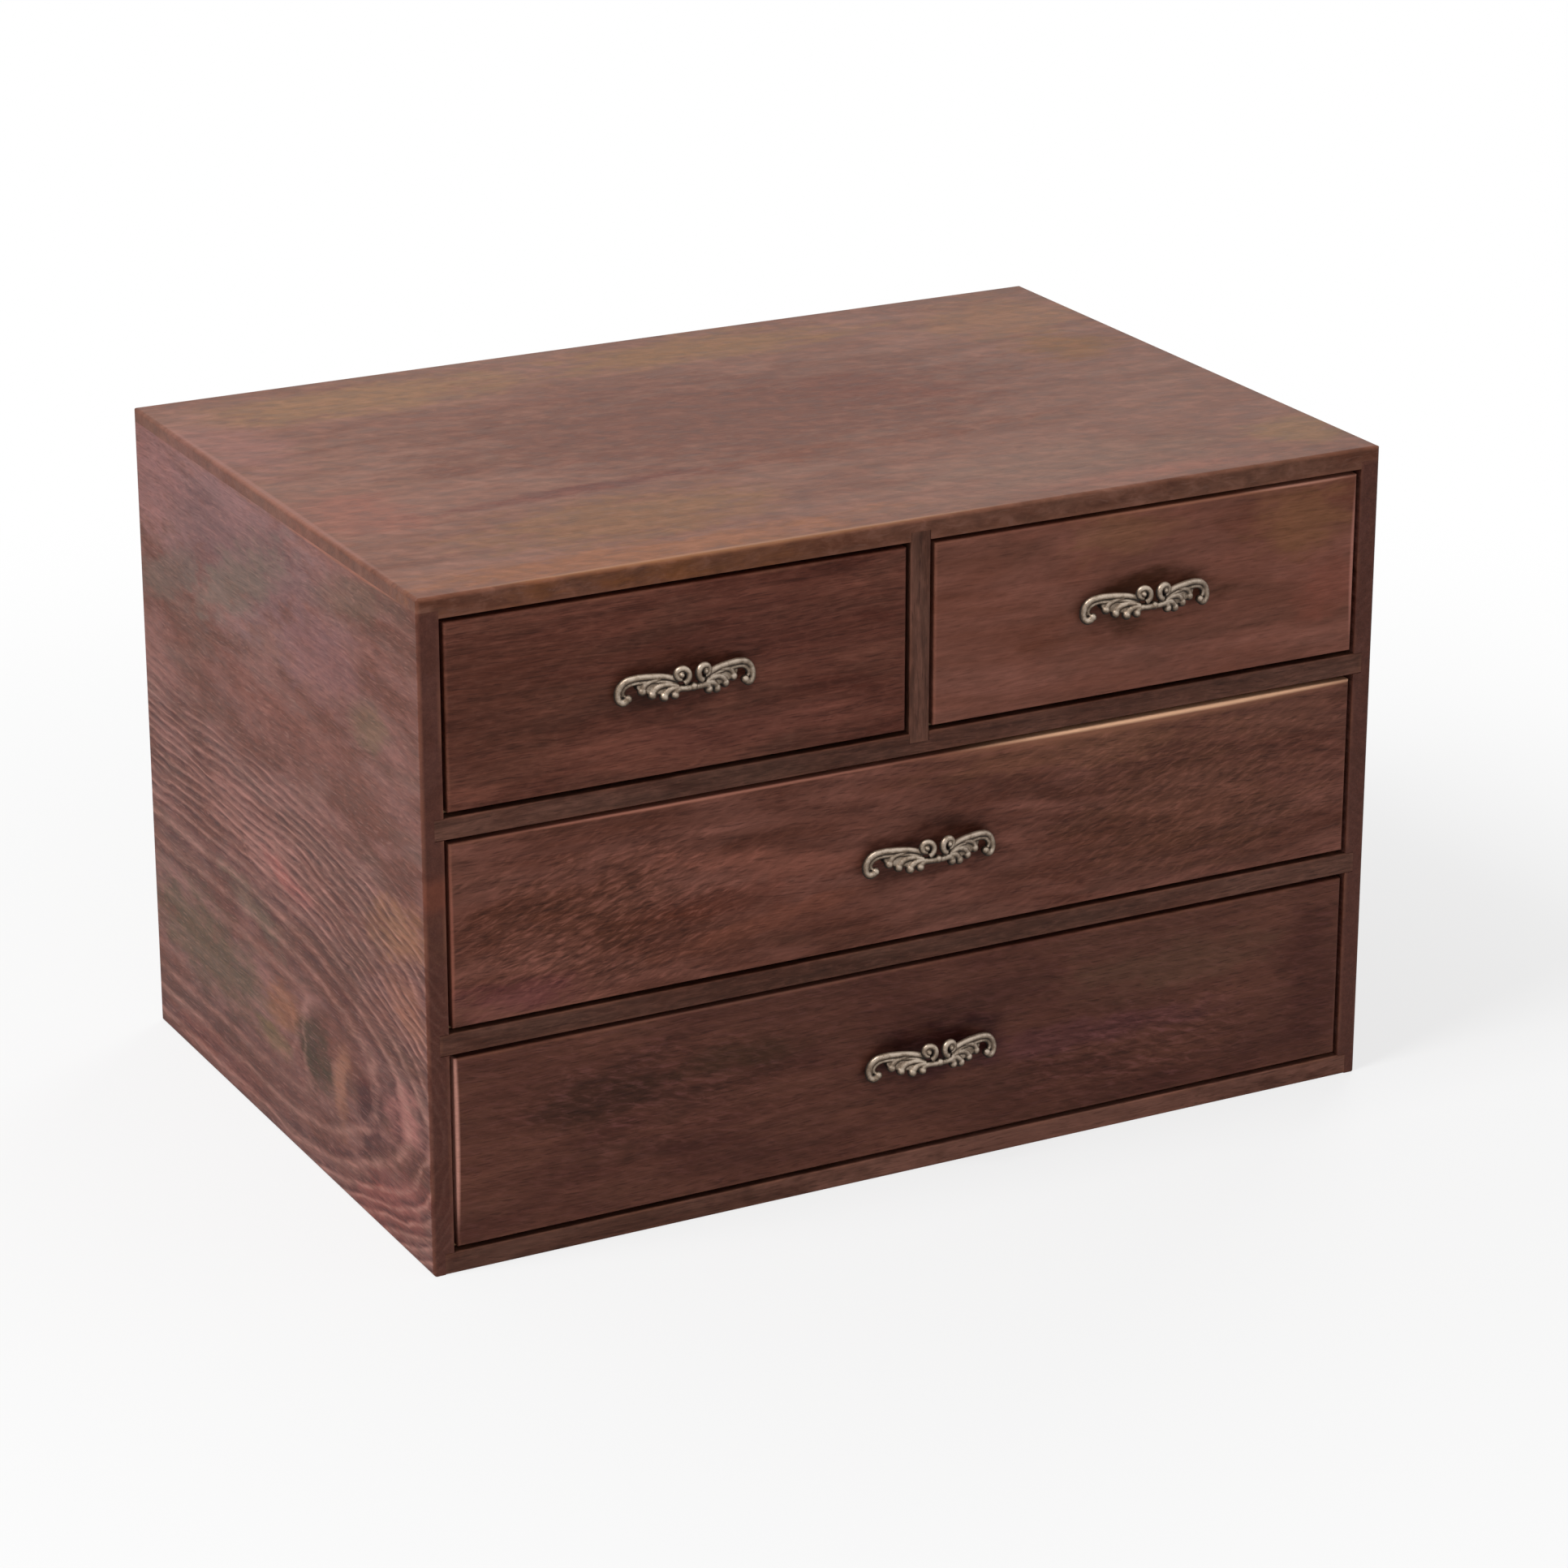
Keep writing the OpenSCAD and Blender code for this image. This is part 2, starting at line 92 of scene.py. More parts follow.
def new_material(name):
    """A material with an empty tree."""
    material = bpy.data.materials.new(name)
    material.use_nodes = True
    material.node_tree.nodes.clear()
    return material, material.node_tree


def new_object(name, data):
    """An object in the scene."""
    obj = bpy.data.objects.new(name, data)
    bpy.context.scene.collection.objects.link(obj)
    return obj


def wear(obj, material):
    """Gives a board, a fastener or a casting its one material."""
    obj.data.materials.clear()
    obj.data.materials.append(material)


# -------------------- wood


def board_space(tree, node, along, across, into):
    """Place on a board in mm from its middle, along the grain, across it and in from the show face, with the
    distances from the nearest arris and from the nearest end of the grain."""
    low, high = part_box(node)
    size = high - low
    coordinate = add(tree, "TexCoord").outputs["Object"]
    centred = add(tree, "VectorMath", {0: coordinate, 1: (low + high) / 2}, operation="SUBTRACT")
    mm = add(tree, "VectorMath", {0: centred, "Scale": TO_MM}, operation="SCALE")
    length, width, depth = (
        add(tree, "VectorMath", {0: mm, 1: way}, operation="DOT_PRODUCT") for way in (along, across, into)
    )
    depth = add(tree, "Math", {0: depth, 1: abs(size.dot(into)) * TO_MM / 2}, operation="ADD")
    place = add(tree, "CombineXYZ", {"X": length, "Y": width, "Z": depth})
    # Of the three distances in from the faces, the two smallest added up
    inset = add(tree, "VectorMath", {0: mm}, operation="ABSOLUTE")
    inset = add(tree, "VectorMath", {0: size * TO_MM / 2, 1: inset}, operation="SUBTRACT")
    total = add(tree, "VectorMath", {0: inset, 1: (1, 1, 1)}, operation="DOT_PRODUCT")
    each = add(tree, "SeparateXYZ", {0: inset})
    most = add(tree, "Math", {0: each.outputs["X"], 1: each.outputs["Y"]}, operation="MAXIMUM")
    most = add(tree, "Math", {0: most, 1: each.outputs["Z"]}, operation="MAXIMUM")
    arris = add(tree, "Math", {0: total, 1: most}, operation="SUBTRACT")
    end = add(tree, "Math", {0: length}, operation="ABSOLUTE")
    end = add(tree, "Math", {0: abs(size.dot(along)) * TO_MM / 2, 1: end}, operation="SUBTRACT")
    return place, arris, end


def stretched_noise(tree, place, patterns):
    """Noise of each pattern by its name, stretched along the grain."""
    noise = {}
    for name, (length, width, settings) in patterns.items():
        stretched = add(tree, "VectorMath", {0: place, 1: (1 / length, 1 / width, 1 / width)}, operation="MULTIPLY")
        noise[name] = add(tree, "TexNoise", {"Vector": stretched, "Scale": 1.0, **settings})
    return noise


def radii_away(tree, place, middle, radii, turn=0):
    """How many radii a place lies from the middle of a patch in the wood."""
    patch = {"Location": (*middle, 0), "Rotation": (0, 0, math.radians(turn)), "Scale": (*radii, PATCH_DEPTH)}
    patch = add(tree, "Mapping", {"Vector": place, **patch}, vector_type="TEXTURE")
    return add(tree, "VectorMath", {0: patch}, operation="LENGTH")


# Patterns on a stained board, in mm along the grain and across it, and the noise that draws them
BOARD_NOISE = {
    # Slow bends in the grain, and curls in it
    "bend": (150, 30, {"Detail": 2.0, "Roughness": 0.5}),
    "curl": (36, 12, {"Detail": 2.0, "Roughness": 0.6}),
    # Where growth lines come and go
    "come": (12, 2, {"Detail": 3.0, "Roughness": 0.7}),
    # Clouds of stain, and the ragged rims of the spots
    "cloud": (60, 16, {"Detail": 3.0, "Roughness": 0.6, "Distortion": 0.6}),
    "ragged": (14, 6, {"Detail": 3.0, "Roughness": 0.65}),
    # Where hands rubbed the arrises
    "rub": (22, 22, {"Detail": 4.0, "Roughness": 0.7}),
}
# Patterns that follow the bends of the grain
GRAIN_NOISE = {
    "coarse fibre": (45, 1.1, {"Detail": 3.0, "Roughness": 0.65}),
    "fine fibre": (14, 0.5, {"Detail": 2.0, "Roughness": 0.6}),
    "streak": (70, 3, {"Detail": 2.0, "Roughness": 0.6}),
    # Open pores, drawn 0.55 mm wide so that they show
    "pore": (6, 0.55, {"Detail": 1.0, "Roughness": 0.5}),
}
# How far a seed moves the patterns, in mm
SEED_SHIFT = (217.3, 91.7, 53.1)
# Share of a ring at which its late wood is darkest, and the middle and half width of the lit early wood
LATE, CREST, CREST_HALF_WIDTH = 0.86, 0.16, 0.24
# How deep a knot, a spot or a painted arris highlight reaches, in mm
PATCH_DEPTH = 60
HALF = (0.5, 0.5, 0.5)
SMOOTH = {"interpolation_type": "SMOOTHSTEP"}
WOOD_IOR = 1.48


def stained_hardwood(node, along, across, into, look):
    """Solid hardwood, planed, stained dark red-brown and waxed: growth rings, open pores, cloudy stain and rubbed
    arrises show under a thin satin haze."""
    look = {**STAIN, **look}
    stain = bpy.context.scene.cabinet_stain
    light, dark = (getattr(stain, f"{look['tone']}_{depth}") for depth in ("light", "dark"))
    material, tree = new_material(f"stained hardwood {node}".replace("_", " "))
    place, arris, end = board_space(tree, node, along, across, into)
    shifted = [look["seed"] * part for part in SEED_SHIFT]
    shifted = add(tree, "VectorMath", {0: place, 1: shifted}, operation="ADD")
    noise = stretched_noise(tree, shifted, BOARD_NOISE)

    # The grain bends and curls, and all that follows it with it
    bent = place
    for name, reach in (("bend", (30, look["bend"], look["bend"])), ("curl", (0, look["curl"], look["curl"]))):
        offset = add(tree, "VectorMath", {0: noise[name].outputs["Color"], 1: HALF}, operation="SUBTRACT")
        offset = add(tree, "VectorMath", {0: offset, 1: reach}, operation="MULTIPLY")
        bent = add(tree, "VectorMath", {0: bent, 1: offset}, operation="ADD")
    noise.update(stretched_noise(tree, bent, GRAIN_NOISE))

    # Rings round a heart that runs along the board and dives in at one place, which draws the cathedrals
    xyz = add(tree, "SeparateXYZ", {0: bent})
    dive = add(tree, "Math", {0: xyz.outputs["X"], 1: look["heart"][0]}, operation="SUBTRACT")
    dive = add(tree, "Math", {0: dive, 1: 0.0, 2: 40.0}, operation="SMOOTH_MAX")
    dive = add(tree, "Math", {0: dive, 1: look["taper"], 2: xyz.outputs["Z"]}, operation="MULTIPLY_ADD")
    off = add(tree, "Math", {0: xyz.outputs["Y"], 1: look["heart"][1]}, operation="SUBTRACT")
    # An arch power of 2 draws round arches, and 1 draws pointed ones
    powers = []
    for side in (off, dive):
        side = add(tree, "Math", {0: side}, operation="ABSOLUTE")
        powers.append(add(tree, "Math", {0: side, 1: look["arch"]}, operation="POWER"))
    radius = add(tree, "Math", {0: powers[0], 1: powers[1]}, operation="ADD")
    radius = add(tree, "Math", {0: radius, 1: 1 / look["arch"]}, operation="POWER")
    # Knots push the rings aside
    for middle, radii, height in look["knots"]:
        away = radii_away(tree, bent, middle, radii)
        knot = {"Value": away, "From Min": 1.0, "From Max": 0.0, "To Max": height}
        knot = add(tree, "MapRange", knot, **SMOOTH)
        radius = add(tree, "Math", {0: radius, 1: knot}, operation="ADD")
    # A ring is near mm wide up to reach mm from the heart, and far mm wide beyond
    near, far, reach, last = look["rings"]
    beyond = add(tree, "Math", {0: radius, 1: reach}, operation="SUBTRACT")
    beyond = add(tree, "Math", {0: beyond, 1: 0.0, 2: 12.0}, operation="SMOOTH_MAX")
    growth = add(tree, "Math", {0: radius, 1: 1 / near}, operation="MULTIPLY")
    growth = add(tree, "Math", {0: beyond, 1: 1 / far - 1 / near, 2: growth}, operation="MULTIPLY_ADD")
    ring = add(tree, "Math", {0: growth}, operation="FRACT")
    # Late wood darkens slowly up to LATE of a ring, and ends at once
    late = {"Value": ring, "From Min": 0.25, "From Max": LATE}
    late = add(tree, "MapRange", late, **SMOOTH)
    fall = add(tree, "MapRange", {"Value": ring, "From Min": LATE, "From Max": 1.0, "To Min": 1.0, "To Max": 0.0})
    late = add(tree, "Math", {0: late, 1: fall}, operation="MULTIPLY")
    # Lines are faint by the heart, and fade out past the last strong one
    fade = {"Value": radius, "From Min": last * 0.12, "From Max": last * 0.4, "To Min": 0.28, "To Max": 1.0}
    fade = add(tree, "MapRange", fade)
    strong, weak = look["ring_strength"]
    past = {"Value": radius, "From Min": last * 0.92, "From Max": last * 1.12, "To Min": strong, "To Max": weak}
    past = add(tree, "MapRange", past)
    fade = add(tree, "Math", {0: fade, 1: past}, operation="MULTIPLY")
    late = add(tree, "Math", {0: late, 1: fade}, operation="MULTIPLY")
    # The early wood after each line stands up and catches the light
    crest = add(tree, "Math", {0: ring, 1: CREST}, operation="SUBTRACT")
    crest = add(tree, "Math", {0: crest}, operation="ABSOLUTE")
    crest = {"Value": crest, "From Max": CREST_HALF_WIDTH, "To Min": look["crest"], "To Max": 0.0}
    crest = add(tree, "MapRange", crest, **SMOOTH)
    crest = add(tree, "Math", {0: crest, 1: fade}, operation="MULTIPLY")
    come = {"Value": noise["come"], "From Min": 0.36, "From Max": 0.6, "To Min": 0.1, "To Max": 1.0}
    come = add(tree, "MapRange", come)
    late = add(tree, "Math", {0: late, 1: come}, operation="MULTIPLY")
    crest = add(tree, "Math", {0: crest, 1: come}, operation="MULTIPLY")

    # Clouds of light and dark stain, and smoky ones
    warm = {"Value": noise["cloud"], "From Min": 0.5 - look["blend"], "From Max": 0.5 + look["blend"]}
    warm = add(tree, "MapRange", warm)
    smoke = add(tree, "SeparateColor", {0: noise["cloud"].outputs["Color"]}).outputs["Green"]
    smoke = add(tree, "MapRange", {"Value": smoke, "From Min": 0.48, "From Max": 0.7, "To Max": look["smoke"]})

    # Fibres and streaks scale the colour
    fibre = add(tree, "Math", {0: noise["coarse fibre"], 1: noise["fine fibre"]}, operation="ADD")
    spread = {"From Min": 0.75, "From Max": 1.25, "To Min": 1 - look["fibre"], "To Max": 1 + look["fibre"]}
    fibre = add(tree, "MapRange", {"Value": fibre, **spread})
    spread = {"From Min": 0.35, "From Max": 0.65, "To Min": 1 - look["streaks"], "To Max": 1 + look["streaks"]}
    streak = add(tree, "MapRange", {"Value": noise["streak"], **spread})
    fibre = add(tree, "Math", {0: fibre, 1: streak}, operation="MULTIPLY")
    pore = noise["pore"]
    pores = add(tree, "MapRange", {"Value": pore, "From Min": 0.58, "From Max": 0.7, "To Max": look["pores"]})
    glint = add(tree, "MapRange", {"Value": pore, "From Min": 0.4, "From Max": 0.28, "To Max": look["glints"]})

    # Flecks where the grain curls
    slant, *size = look["fleck"]
    fleck = {"Vector": shifted, "Rotation": (0, 0, math.radians(slant)), "Scale": (*size, size[1])}
    fleck = add(tree, "Mapping", fleck, vector_type="TEXTURE")
    fleck = add(tree, "TexNoise", {"Vector": fleck, "Scale": 1.0, "Detail": 3.0, "Roughness": 0.6, "Distortion": 0.4})
    lit = add(tree, "MapRange", {"Value": fleck, "From Min": 0.52, "From Max": 0.7})
    fleck = add(tree, "MapRange", {"Value": fleck, "From Min": 0.35, "From Max": 0.65, "To Min": -1.0, "To Max": 1.0})

    colour = add(tree, "Mix", {"Factor": warm, "A": dark, "B": light}, data_type="RGBA")
    colour = add(tree, "Mix", {"Factor": smoke, "A": colour, "B": linear(look["smoky"])}, data_type="RGBA")
    mottle = look["mottle"]
    ragged = add(tree, "MapRange", {"Value": noise["ragged"], "To Min": -0.8, "To Max": 0.8})
    for middle, radii, turn, code, strength in look["spots"]:
        away = radii_away(tree, bent, middle, radii, turn)
        away = add(tree, "Math", {0: away, 1: ragged}, operation="ADD")
        spot = {"Value": away, "From Min": 1.0, "From Max": 0.3, "To Max": strength}
        spot = add(tree, "MapRange", spot, **SMOOTH)
        if code == "mottle":
            mottle = add(tree, "Math", {0: spot, 1: mottle}, operation="ADD")
        else:
            colour = add(tree, "Mix", {"Factor": spot, "A": colour, "B": linear(code)}, data_type="RGBA")
    for factor, layer in ((late, "line"), (crest, "glint")):
        colour = add(tree, "Mix", {"Factor": factor, "A": colour, "B": linear(look[layer])}, data_type="RGBA")
    shading = add(tree, "Math", {0: fleck, 1: mottle, 2: fibre}, operation="MULTIPLY_ADD")
    colour = add(tree, "VectorMath", {0: colour, "Scale": shading}, operation="SCALE")
    # Painted highlights: lit flecks where the wood is mottled, and the lit lips of the pores, take the glint colour
    lit = add(tree, "Math", {0: lit, 1: mottle}, operation="MULTIPLY")
    glint = add(tree, "Math", {0: glint, 1: lit}, operation="MAXIMUM")
    colour = add(tree, "Mix", {"Factor": glint, "A": colour, "B": linear(look["glint"])}, data_type="RGBA")
    colour = add(tree, "Mix", {"Factor": pores, "A": colour, "B": stain.pore}, data_type="RGBA")

    # End grain, which drinks the most stain
    drunk = {"Value": end, "From Min": 1.1, "From Max": 0.5, "To Max": look["end_grain"]}
    drunk = add(tree, "MapRange", drunk, **SMOOTH)
    shaded = add(tree, "VectorMath", {0: stain.end_grain, "Scale": fibre}, operation="SCALE")
    colour = add(tree, "Mix", {"Factor": drunk, "A": colour, "B": shaded}, data_type="RGBA")

    # Arrises rubbed through the stain here and there, over 1.5 mm
    rub = {"Value": noise["rub"], "From Min": 0.4, "From Max": 0.62, "To Max": look["rub"] * stain.wear}
    rub = add(tree, "MapRange", rub)
    edge = add(tree, "MapRange", {"Value": arris, "From Min": 1.5, "From Max": 0.2}, **SMOOTH)
    rub = add(tree, "Math", {0: rub, 1: edge}, operation="MULTIPLY")
    colour = add(tree, "Mix", {"Factor": rub, "A": colour, "B": stain.rubbed}, data_type="RGBA")
    # Painted highlights along known stretches of arris, where the rounded edge catches the light, drawn as lighter
    # stain
    for middle, radii, code, strength in look["lit_arrises"]:
        away = radii_away(tree, place, middle, radii)
        lit_arrises = {"Value": away, "From Min": 1.0, "From Max": 0.5, "To Max": strength}
        lit_arrises = add(tree, "MapRange", lit_arrises, **SMOOTH)
        lit_arrises = add(tree, "Math", {0: lit_arrises, 1: fibre}, operation="MULTIPLY")
        colour = add(tree, "Mix", {"Factor": lit_arrises, "A": colour, "B": linear(code)}, data_type="RGBA")

    rough = add(tree, "Math", {0: pores, 1: 0.2, 2: look["roughness"]}, operation="MULTIPLY_ADD")
    rough = add(tree, "Math", {0: fleck, 1: 0.03, 2: rough}, operation="MULTIPLY_ADD")
    height = add(tree, "Math", {0: pores, 1: -1.0, 2: fibre}, operation="MULTIPLY_ADD")
    height = add(tree, "Math", {0: late, 1: 0.4, 2: height}, operation="MULTIPLY_ADD")
    bump = add(tree, "Bump", {"Height": height, "Strength": 0.5, "Distance": 0.12 * MM})
    finish = {"Base Color": colour, "Roughness": rough, "IOR": WOOD_IOR, "Specular IOR Level": look["gloss"]}
    add(tree, "OutputMaterial", {"Surface": add(tree, "BsdfPrincipled", {**finish, "Normal": bump})})
    return material


# What every stained board starts from: the smoky cast where the stain took badly, the late wood line, the lit lip
# of a pore, the heart's place along and across, and how strongly each pattern shows.
STAIN = {
    "seed": 1.0,
    "smoky": "#50362a",
    "line": "#3a1f19",
    "glint": "#9a6658",
    "heart": (-40.0, 0.0),
    "taper": 0.2,
    "arch": 2.0,
    "knots": (),
    "rings": (9.0, 4.0, 40.0, 70.0),
    "ring_strength": (0.35, 0.2),
    "crest": 0.3,
    "bend": 9.0,
    "curl": 3.0,
    "blend": 0.14,
    "smoke": 0.4,
    "fibre": 0.16,
    "streaks": 0.08,
    "pores": 0.36,
    "glints": 0.12,
    "fleck": (0.0, 5.0, 1.6),
    "mottle": 0.06,
    "end_grain": 0.0,
    "rub": 0.35,
    "roughness": 0.42,
    "gloss": 0.12,
    "spots": (),
    "lit_arrises": (),
}

# What differs from STAIN on each board.
# A spot is its middle along and across, its radii, its turn in degrees, its colour or mottle, and its strength.
# A painted arris highlight is its middle, its radii, its colour and its strength; a knot its middle, its radii and
# its height.
LEFT_SIDE = {
    "tone": "side",
    "smoky": "#61483d",
    "line": "#3d0a0a",
    "glint": "#b07e71",
    "heart": (2.0, -66.0),
    "taper": 0.4,
    "arch": 1.7,
    "knots": (((22, -66), (27, 22), 15.0),),
    "rings": (9.0, 3.6, 44.0, 86.0),
    "ring_strength": (0.75, 0.08),
    "crest": 0.64,
    "bend": 8.0,
    "curl": 5.0,
    "blend": 0.1,
    "pores": 0.22,
    "glints": 0.24,
    "fibre": 0.12,
    "streaks": 0.09,
    "fleck": (4.0, 6.0, 1.8),
    "mottle": 0.1,
    "end_grain": 0.85,
    "spots": (
        # Grey cast and clouds of the upper half, from the rear
        ((-30, 90), (110, 38), 0, "#85686c", 0.4),
        ((-100, 96), (40, 28), 0, "#855854", 0.6),
        ((-92, 62), (50, 10), 22, "#5d4c41", 0.6),
        ((-30, 78), (60, 14), 24, "#635648", 0.6),
        ((66, 97), (44, 10), 14, "#5c4637", 0.6),
        ((77, 60), (22, 10), 10, "#5e4f34", 0.5),
        ((40, 72), (50, 20), 0, "#714847", 0.6),
        ((20, 40), (90, 12), 0, "#69382b", 0.6),
        # Lit band of close lines, ochre towards the front
        ((-16, -8), (86, 14), -4, "#96645a", 0.55),
        ((6, -14), (30, 6), -4, "#974f48", 0.6),
        ((98, 0), (30, 13), 14, "#97643d", 0.5),
        ((104, -24), (22, 14), 0, "#965e44", 0.45),
        # Heart of the cathedral: olive core, orange oval, dark knot, ochre and pink rings
        ((-66, -62), (64, 22), -4, "#4e3d27", 0.8),
        ((-30, -34), (34, 9), -12, "#5d5240", 0.5),
        ((-4, -60), (22, 11), 0, "#7c4a28", 0.65),
        ((-12, -74), (18, 7), 0, "#67572d", 0.5),
        ((24, -67), (19, 19), 0, "#32250a", 0.85),
        ((46, -70), (8, 24), -8, "#905e46", 0.6),
        ((69, -70), (13, 26), -14, "#3a0a0a", 0.85),
        ((92, -62), (16, 14), -30, "#9f645d", 0.65),
        ((84, -97), (44, 16), 24, "#883d37", 0.45),
        ((-30, -90), (100, 20), 0, "#4f271a", 0.5),
        ((-60, -100), (70, 7), 0, "#7d443a", 0.4),
    ),
    # Painted highlights along the arrises
    "lit_arrises": (((60, 108), (60, 1.6), "#9b604b", 0.6), ((116, 18), (2.4, 8), "#834835", 0.5)),
}

RIGHT_SIDE = {
    "tone": "side",
    "seed": 2.3,
    "smoky": "#5d5041",
    "line": "#462517",
    "glint": "#ac7b6f",
    "heart": (-40.0, 30.0),
    "arch": 1.6,
    "blend": 0.17,
    "smoke": 0.3,
    "ring_strength": (0.5, 0.15),
    "curl": 5.0,
    "crest": 0.6,
    "end_grain": 0.85,
    "mottle": 0.08,
    "spots": (((-40, 30), (70, 16), 0, "#564837", 0.5), ((60, -70), (60, 20), 8, "#85403d", 0.5)),
}

TOP_BOARD = {
    "tone": "top",
    "seed": 3.1,
    "smoky": "#674635",
    "line": "#58260a",
    "glint": "#916c60",
    "heart": (-90.0, 8.0),
    "taper": 0.12,
    "rings": (14.0, 8.0, 50.0, 90.0),
    "ring_strength": (0.14, 0.1),
    "bend": 16.0,
    "curl": 8.0,
    "blend": 0.16,
    "fibre": 0.07,
    "streaks": 0.05,
    "pores": 0.14,
    "glints": 0.2,
    "fleck": (24.0, 9.0, 4.0),
    "mottle": 0.2,
    "end_grain": 0.3,
    "spots": (
        # Yellowish strip at the rear, mauve middle, orange and olive at the front left
        ((-100, -89), (90, 24), 0, "#7e5938", 0.75),
        ((30, -92), (76, 22), 0, "#79532f", 0.75),
        ((139, -78), (44, 36), 0, "#7c5335", 0.7),
        ((143, -36), (24, 24), 0, "#72470c", 0.6),
        ((-160, -60), (24, 54), 0, "#7f534a", 0.7),
        ((-60, -60), (120, 10), 2, "#643828", 0.6),
        ((-5, -14), (150, 62), 0, "#5b2e1c", 0.8),
        ((60, -20), (50, 20), 30, "#5d2813", 0.5),
        ((-82, 71), (66, 28), 0, "#734c26", 0.6),
        ((-90, 104), (110, 14), 0, "#814d2a", 0.7),
        ((70, 84), (70, 30), 0, "#735344", 0.6),
        ((155, 86), (22, 20), 0, "#7b5934", 0.6),
        ((-152, 30), (24, 34), 0, "#7f4a3b", 0.6),
        ((-82, 38), (66, 7), -4, "#52190a", 0.65),
        ((20, 34), (90, 8), -2, "#602a0c", 0.5),
        ((90, 104), (60, 8), 0, "#844f3f", 0.4),
    ),
    # Painted highlights along the arrises
    "lit_arrises": (((-60, 113.6), (110, 1.6), "#996b4b", 0.6), ((-168.6, 0), (1.6, 110), "#916255", 0.5)),
}

BASE_BOARD = {
    "tone": "rail",
    "seed": 4.7,
    "ring_strength": (0.25, 0.2),
    "spots": (((70, 112), (150, 9), 0, "#926354", 0.6),),
}
SHELF = {"tone": "rail", "rub": 0.2, "ring_strength": (0.15, 0.2), "streaks": 0.16, "mottle": 0.12}

# Node, then the ways along the grain, across it and in from the show face, and its look
CASE_BOARDS = {
    "left_side": (-Y, Z, X, LEFT_SIDE),
    "right_side": (-Y, Z, -X, RIGHT_SIDE),
    "top_board": (X, -Y, -Z, TOP_BOARD),
    "base_board": (X, -Y, Z, BASE_BOARD),
    "lower_shelf": (X, Z, Y, {**SHELF, "seed": 5.9}),
    "upper_shelf": (X, Z, Y, {**SHELF, "seed": 6.4}),
    "centre_divider": (Z, X, Y, {**SHELF, "seed": 7.2}),
}

